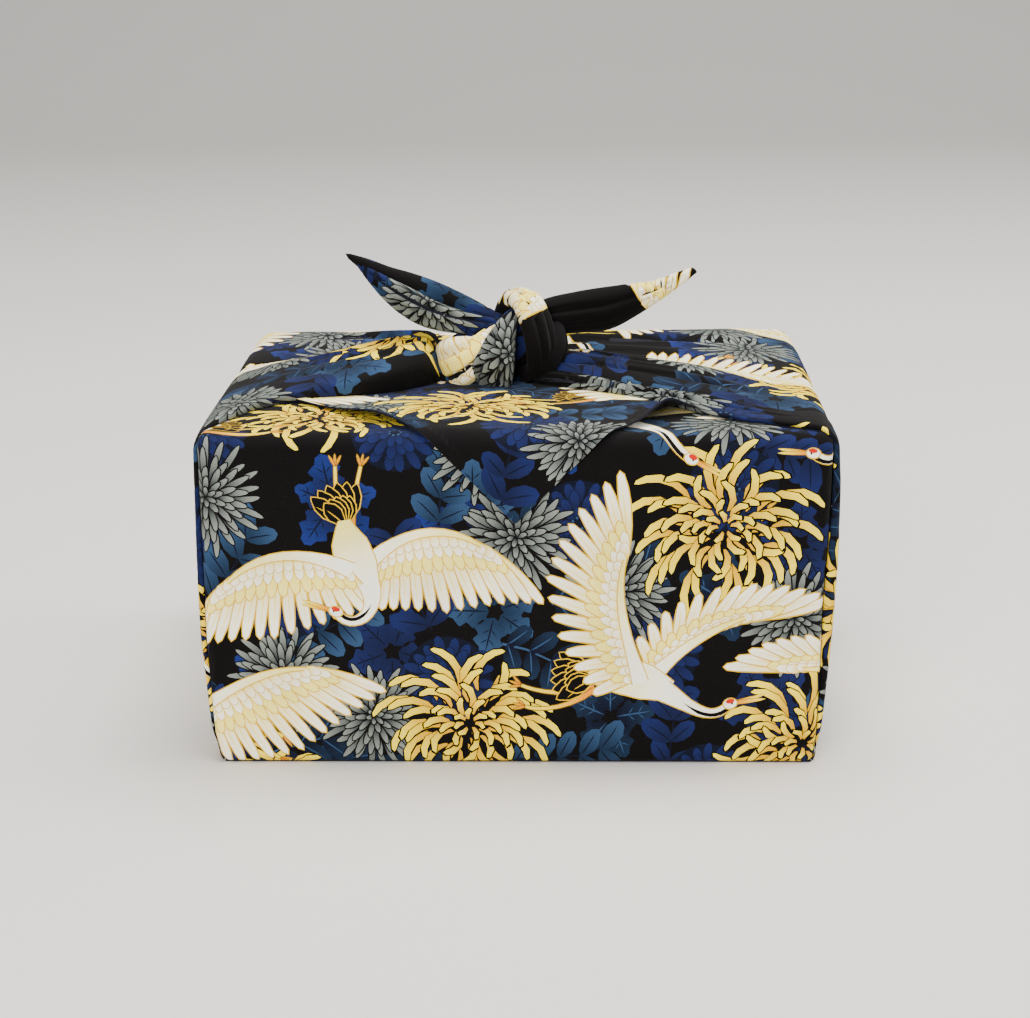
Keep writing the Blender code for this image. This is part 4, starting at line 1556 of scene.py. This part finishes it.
RIGHT_ROLLS = SideRolls(
    "right_side", 1.0,
    ((0.0, -75.4, 0.1, -42.0, 0.1, -6.0, 0.1, 75.4),
     (12.0, -75.4, 2.2, -42.0, 2.4, -6.0, 2.4, 75.4),
     (50.0, -75.4, 4.2, -43.0, 4.4, -6.0, 4.4, 75.4),
     (84.0, -75.2, 3.0, -46.0, 3.0, -7.0, 3.0, 75.2),
     (95.0, -75.0, 2.2, -51.0, 2.0, -8.0, 2.2, 74.6),
     (101.0, -73.0, 2.4, -54.0, 2.4, -8.0, 3.6, 71.0),
     (108.0, -70.0, 2.8, -56.0, 3.0, -6.0, 5.0, 66.0),
     (113.0, -67.0, 3.0, -52.0, 3.6, -4.0, 6.0, 63.0),
     (124.0, -61.0, 3.4, -42.0, 4.8, 0.0, 6.8, 57.0),
     (138.0, -46.0, 3.6, -33.0, 6.4, 2.0, 7.8, 50.0),
     (156.0, -29.0, 4.0, -22.0, 8.2, 3.0, 8.8, 43.0),
     (170.0, -19.0, 5.0, -14.0, 9.6, 3.0, 10.0, 33.0),
     (180.0, -13.0, 5.0, -9.0, 9.0, 2.0, 8.4, 20.0),
     (187.0, -9.0, 3.0, -6.0, 5.0, 2.0, 5.0, 13.0),
     (193.0, -6.0, 2.0, -4.0, 3.0, 2.0, 3.0, 9.0)),
    FrontPanel.right_fold, -6.0, Grain.RIGHT_OUT)

UPRIGHT = (0.0, 0.0, 1.0)

STRANDS = (
    Strand("knot_core",
           ((-24.0, 3.0, 104.0, 5.0, 6.0), (-12.0, 1.0, 107.0, 8.5, 9.0), (-2.0, 0.5, 108.5, 9.5, 9.5),
            (9.0, 1.0, 108.0, 6.5, 7.5)),
           (66.0, 74.0), up=UPRIGHT),
    Strand("knot_left_pleats",
           ((-17.0, 8.0, 100.0, 6.0, 3.0), (-21.5, -1.0, 103.0, 7.4, 4.0),
            (-18.5, -9.5, 105.5, 8.0, 4.6), (-12.6, -10.8, 109.0, 6.0, 4.0),
            (-8.4, -6.4, 112.4, 4.4, 3.4), (-4.0, 0.0, 114.0, 3.6, 3.0)),
           (-4.0, 138.0), ((62.0, 8.0, 0.42, 0.3), (112.0, 7.0, 0.34, -0.2))),
    Strand("knot_right_wrap",
           ((2.0, -5.0, 100.5, 4.5, 3.0), (7.6, -9.0, 103.5, 5.0, 3.4), (10.8, -7.0, 109.0, 5.0, 3.6),
            (11.0, -2.0, 113.5, 4.6, 3.4), (9.0, 4.0, 115.0, 4.0, 3.0)),
           (100.0, 20.0), ((75.0, 9.0, 0.4, 0.4),)),
    Strand("knot_top_loop",
           ((-6.0, 8.0, 106.0, 4.6, 3.0), (-4.0, 6.5, 116.0, 4.8, 3.1), (-1.0, 1.5, 122.9, 5.0, 3.3),
            (2.4, -5.5, 123.0, 5.2, 3.5), (5.4, -10.0, 117.0, 5.4, 3.6), (6.8, -11.5, 110.0, 5.2, 3.6),
            (6.4, -9.0, 103.5, 4.6, 3.1), (4.5, -3.0, 100.0, 4.0, 2.6)),
           (140.0, 24.0), ((64.0, 8.0, 0.4, 0.5), (112.0, 7.0, 0.34, -0.5)), stations=72),
    Strand("knot_front_wrap",
           ((-8.0, 4.0, 99.0, 6.0, 2.5), (-8.8, -10.0, 99.6, 6.6, 3.2), (-8.0, -15.0, 104.5, 6.6, 3.8),
            (-6.2, -13.0, 110.5, 5.2, 3.6), (-4.0, -9.0, 116.0, 3.4, 2.9), (-2.0, -3.5, 118.5, 2.4, 2.2),
            (0.0, 3.0, 118.0, 2.0, 2.0)),
           (44.0, 52.0), ((66.0, 8.0, 0.36, 0.5), (114.0, 7.0, 0.3, -0.4))),
    Strand("knot_back_wrap",
           ((12.0, -2.0, 110.0, 4.0, 2.6), (10.0, 8.0, 107.0, 6.0, 3.6),
            (2.0, 12.5, 105.0, 7.6, 4.4), (-8.0, 13.0, 104.5, 7.6, 4.6),
            (-17.0, 10.5, 103.5, 6.6, 4.0), (-23.0, 4.0, 102.0, 4.6, 3.0)),
           (-24.0, 30.0), ((66.0, 8.0, 0.36, 0.4), (112.0, 7.0, 0.3, -0.4)), UPRIGHT),
    Strand("left_tail_upper",
           ((-2.0, 1.0, 114.2, 2.4, 3.0), (-9.0, 1.5, 116.2, 3.4, 3.6), (-18.0, 2.0, 119.7, 4.6, 4.0),
            (-27.0, 2.0, 123.9, 4.7, 3.8), (-34.0, 2.2, 127.2, 4.0, 3.4), (-41.0, 2.6, 130.0, 3.2, 2.8),
            (-48.0, 3.6, 133.6, 2.1, 2.0), (-54.4, 4.6, 136.9, 0.5, 0.5)),
           (42.0, 32.0), ((118.0, 9.0, 0.3, 0.5),), UPRIGHT, Grain.RIGHT_OUT, 1.0),
    Strand("left_tail_lower",
           ((-4.0, -2.0, 114.6, 2.0, 2.4), (-12.0, -2.6, 115.8, 2.8, 2.8),
            (-20.0, -3.2, 117.0, 3.8, 3.0), (-28.0, -3.4, 119.4, 4.5, 3.0),
            (-34.5, -2.6, 122.8, 4.5, 2.7), (-40.5, -1.0, 126.6, 3.6, 2.2),
            (-46.0, 1.2, 130.6, 2.1, 1.6), (-50.5, 3.2, 134.2, 0.6, 0.6)),
           (18.0, 168.0), ((58.0, 11.0, 0.85, 0.2), (108.0, 8.0, 0.3, -0.3)), UPRIGHT, power=1.0),
    Strand("right_tail",
           ((1.0, 0.0, 114.0, 4.5, 4.5), (9.0, 0.0, 117.6, 5.8, 5.0), (18.0, 1.0, 118.9, 6.5, 4.8),
            (26.0, 2.0, 119.8, 6.8, 4.4), (34.0, 3.0, 122.2, 5.4, 3.6), (42.0, 4.0, 125.0, 3.4, 2.6),
            (49.0, 5.0, 128.5, 2.2, 1.9), (54.6, 6.0, 131.4, 1.0, 1.0)),
           (70.0, 24.0), ((72.0, 8.0, 0.36, 0.3), (112.0, 7.0, 0.24, -0.3)), UPRIGHT,
           Grain.RIGHT_OUT, 1.0, 72),
)


@dataclass
class Underside:
    """The base of the wrap: flat cloth between the four panels, resting on the surface.

    Attributes:
        half: half its width.
        inset: how far it stays inside the front and back faces.
        points: points along each side of its grid.
    """

    half: float = 85.4
    inset: float = 1.2
    points: int = 20

    def strip(self) -> Strip:
        """Return a flat rectangle with its printed side down."""
        reach = HALF_DEPTH - self.inset
        along = np.linspace(-reach, reach, self.points)
        x, y = np.meshgrid(np.linspace(-1.0, 1.0, self.points) * self.half, along)
        space = np.stack([x, y, np.zeros_like(x)], axis=-1)
        half = np.full(self.points, self.half)
        return Strip("base_panel", space, along, -half, half, Grain.UP_FRONT, (0.0, 0.0), (2, 2),
                     "stretched")


@dataclass(frozen=True)
class Graph:
    """A shader's nodes.

    Attributes:
        tree: the node tree that they go into.
    """

    tree: bpy.types.NodeTree

    def add(self, kind: str, inputs: dict, operation: str = "") -> bpy.types.Node:
        """Add a node, and fill or link its inputs.

        Args:
            kind: the node's type, without ShaderNode in front.
            inputs: for an input's name or number, a value or another node's output.
            operation: what a node for mathematics does.

        Returns:
            The node.
        """
        node = self.tree.nodes.new("ShaderNode" + kind)
        if operation:
            node.operation = operation
        for name, value in inputs.items():
            if isinstance(value, bpy.types.NodeSocket):
                self.tree.links.new(value, node.inputs[name])
            else:
                node.inputs[name].default_value = value
        return node


@dataclass(frozen=True)
class CottonFinish:
    """Plain-woven cotton with printed inks.

    Attributes:
        thread_pitch: distance between threads in metres.
        weave_depth: height of the weave in metres.
        roughness: roughness of bare cloth.
        gilt_roughness: roughness where the ink holds metallic powder.
        gilt_metal: metallic value there.
        sheen: strength of the fibre sheen.
    """

    thread_pitch: float = 0.00042
    weave_depth: float = 0.00006
    roughness: float = 0.88
    gilt_roughness: float = 0.5
    gilt_metal: float = 0.15
    sheen: float = 0.02

    def material(self) -> bpy.types.Material:
        """Build the material: print times random mottling and painted weave shade, with a woven bump in
        flat cloth coordinates.
        """
        material = bpy.data.materials.new(SLOT)
        material.use_nodes = True
        material.node_tree.nodes.clear()
        graph = Graph(material.node_tree)
        ink = graph.add("Attribute", {})
        ink.attribute_name = "print"
        cloth = graph.add("UVMap", {})
        cloth.uv_map = "cloth"
        flat = cloth.outputs[0]

        blotch = graph.add("TexNoise", {"Vector": flat, "Scale": 55.0, "Detail": 5.0})
        tone = graph.add("MapRange", {"Value": blotch.outputs["Fac"], "From Min": 0.3,
                                      "From Max": 0.7, "To Min": 0.86, "To Max": 1.1})
        weave = self.weave(graph, flat)
        # Painted shade and light: the colour follows the weave's height, darker in its hollows and
        # lighter on the thread crests.
        weave_light_and_shade = graph.add("MapRange", {"Value": weave, "To Min": 0.9, "To Max": 1.06})
        # Random tone mottling times the painted shade and light of the weave.
        mottle_and_weave_shade = graph.add("Math", {0: tone.outputs[0], 1: weave_light_and_shade.outputs[0]}, "MULTIPLY")
        colour = graph.add("VectorMath", {0: ink.outputs["Color"], "Scale": mottle_and_weave_shade.outputs[0]}, "SCALE")
        rough = graph.add("MapRange", {"Value": ink.outputs["Alpha"], "To Min": self.roughness,
                                       "To Max": self.gilt_roughness})
        metal = graph.add("Math", {0: ink.outputs["Alpha"], 1: self.gilt_metal}, "MULTIPLY")

        crumple = graph.add("TexNoise", {"Vector": flat, "Scale": 90.0, "Detail": 3.0})
        soft = graph.add("Bump", {"Height": crumple.outputs["Fac"], "Distance": 0.0004,
                                  "Strength": 0.5})
        bump = graph.add("Bump", {"Height": weave, "Normal": soft.outputs[0],
                                  "Distance": self.weave_depth, "Strength": 0.8})
        shader = graph.add("BsdfPrincipled", {
            "Base Color": colour.outputs[0], "Roughness": rough.outputs[0],
            "Metallic": metal.outputs[0], "Normal": bump.outputs[0],
            "Sheen Weight": self.sheen, "Sheen Roughness": 0.5, "Specular IOR Level": 0.1})
        graph.add("OutputMaterial", {0: shader.outputs[0]})
        return material

    def weave(self, graph: Graph, flat: bpy.types.NodeSocket) -> bpy.types.NodeSocket:
        """Return the weave's height: the product of sines along and across the threads."""
        split = graph.add("SeparateXYZ", {0: flat})
        waves = {}
        rate = math.pi / self.thread_pitch
        for axis in (0, 1):
            turn = graph.add("Math", {0: split.outputs[axis], 1: rate}, "MULTIPLY")
            waves[axis] = graph.add("Math", {0: turn.outputs[0]}, "SINE").outputs[0]
        product = graph.add("Math", waves, "MULTIPLY")
        return graph.add("MapRange", {"Value": product.outputs[0], "From Min": -1.0}).outputs[0]


# Rows of name, place, aim, size in metres, power in watts and tint.
LIGHTS = (
    ("above", (0.1, 0.15, 1.4), (0.0, 0.0, 0.05), 1.0, 38.0, (1.0, 0.98, 0.95)),
    ("window", (1.5, 0.3, 0.8), (0.0, 0.0, 0.08), 0.9, 18.0, (0.95, 0.98, 1.0)),
    ("front", (-0.5, -1.8, 0.7), (0.0, 0.0, 0.06), 1.0, 46.0, (1.0, 0.98, 0.96)),
)


@dataclass
class Studio:
    """The camera at the photograph's angle, a pale floor and soft light.

    Attributes:
        eye: place of the camera in millimetres.
        pitch: how far it looks down, in degrees.
        yaw: how far it looks to the right of straight back.
        roll: its turn about its own axis.
        focal_pixels: focal length in pixels of the photograph.
        frame_pixels: width of the photograph in pixels.
        sensor: width of the sensor in millimetres.
        floor_depth: y of the floor's front edge and of the start of its curve, in metres.
        curve: radius of that curve in metres.
        half_floor: half the floor's width in metres.
    """

    eye: tuple[float, float, float] = (15.7, -718.9, 247.7)
    pitch: float = 14.93
    yaw: float = -1.41
    roll: float = -0.43
    focal_pixels: float = 2346.0
    frame_pixels: float = 1030.0
    sensor: float = 36.0
    floor_depth: tuple[float, float] = (-4.0, 1.6)
    curve: float = 1.2
    half_floor: float = 5.0

    def camera(self) -> None:
        """Add the camera: it looks along the yaw and pitch, then turns by the roll."""
        data = bpy.data.cameras.new("camera")
        data.sensor_width = self.sensor
        data.lens = self.sensor * self.focal_pixels / self.frame_pixels
        data.clip_start = 0.05
        data.clip_end = 20.0
        camera = bpy.data.objects.new("camera", data)
        pitch, yaw = math.radians(self.pitch), math.radians(self.yaw)
        ahead = Vector((math.sin(yaw) * math.cos(pitch), math.cos(yaw) * math.cos(pitch),
                        -math.sin(pitch)))
        right = ahead.cross(Vector((0.0, 0.0, 1.0))).normalized()
        up = right.cross(ahead)
        roll = math.radians(self.roll)
        side = right * math.cos(roll) + up * math.sin(roll)
        top = up * math.cos(roll) - right * math.sin(roll)
        turn = Matrix((side, top, -ahead)).transposed().to_4x4()
        camera.matrix_world = Matrix.Translation(Vector(self.eye) * MM) @ turn
        bpy.context.scene.collection.objects.link(camera)
        bpy.context.scene.camera = camera

    def floor(self) -> None:
        """Add a wide pale floor that curves up behind into a backdrop."""
        angle = np.linspace(0.0, QUARTER_TURN, 24)[1:]
        flat = np.linspace(*self.floor_depth, 12)
        rise = self.curve + np.linspace(0.2, 2.5, 8)
        y = np.concatenate([flat, flat[-1] + self.curve * np.sin(angle),
                            np.full_like(rise, flat[-1] + self.curve)])
        z = np.concatenate([np.zeros_like(flat), self.curve * (1.0 - np.cos(angle)), rise])
        x, y = np.meshgrid(np.linspace(-self.half_floor, self.half_floor, 9), y)
        grid = np.stack([x, y, np.broadcast_to(z[:, None], x.shape)], axis=-1)
        index = np.arange(x.size).reshape(x.shape)
        faces = np.stack([index[:-1, :-1], index[:-1, 1:], index[1:, 1:], index[1:, :-1]], axis=-1)
        mesh = bpy.data.meshes.new("floor")
        mesh.from_pydata(grid.reshape(-1, 3).tolist(), [], faces.reshape(-1, 4).tolist())
        mesh.polygons.foreach_set("use_smooth", np.ones(len(mesh.polygons), dtype=bool))
        material = bpy.data.materials.new("floor")
        material.use_nodes = True
        shader = material.node_tree.nodes["Principled BSDF"]
        shader.inputs["Base Color"].default_value = (0.72, 0.69, 0.65, 1.0)
        shader.inputs["Roughness"].default_value = 0.6
        mesh.materials.append(material)
        floor = bpy.data.objects.new("floor", mesh)
        bpy.context.scene.collection.objects.link(floor)

    def area(self, name: str, place: tuple, aim: tuple, size: float, power: float, tint: tuple) -> None:
        """Add a square soft light that looks at a point."""
        data = bpy.data.lights.new(name, "AREA")
        data.size = size
        data.energy = power
        data.color = tint
        light = bpy.data.objects.new(name, data)
        light.location = place
        light.rotation_euler = (Vector(aim) - Vector(place)).to_track_quat("-Z", "Y").to_euler()
        bpy.context.scene.collection.objects.link(light)

    def lights(self) -> None:
        """Add a broad light from above, one from the window side and a weak fill."""
        for row in LIGHTS:
            self.area(*row)
        world = bpy.data.worlds.new("studio")
        world.use_nodes = True
        background = world.node_tree.nodes["Background"]
        background.inputs["Color"].default_value = (0.95, 0.97, 1.0, 1.0)
        background.inputs["Strength"].default_value = 0.42
        bpy.context.scene.world = world

    def build(self) -> None:
        """Set the stage."""
        self.camera()
        self.floor()
        self.lights()


def main() -> None:
    """Build the cloth, piece by piece, and the stage."""
    logging.basicConfig(level=logging.INFO, format="%(message)s")
    Studio().build()
    design = Print()
    design.draw()
    cutter = Cutter(design)
    cotton = CottonFinish().material()
    strips = [FrontPanel().strip(), Underside().strip()] + BackPanel().strips()
    strips += LEFT_ROLLS.strips() + RIGHT_ROLLS.strips()
    strips += [strand.strip() for strand in STRANDS]
    for strip in strips:
        cutter.build(strip, cotton)


if __name__ == "__main__":
    main()
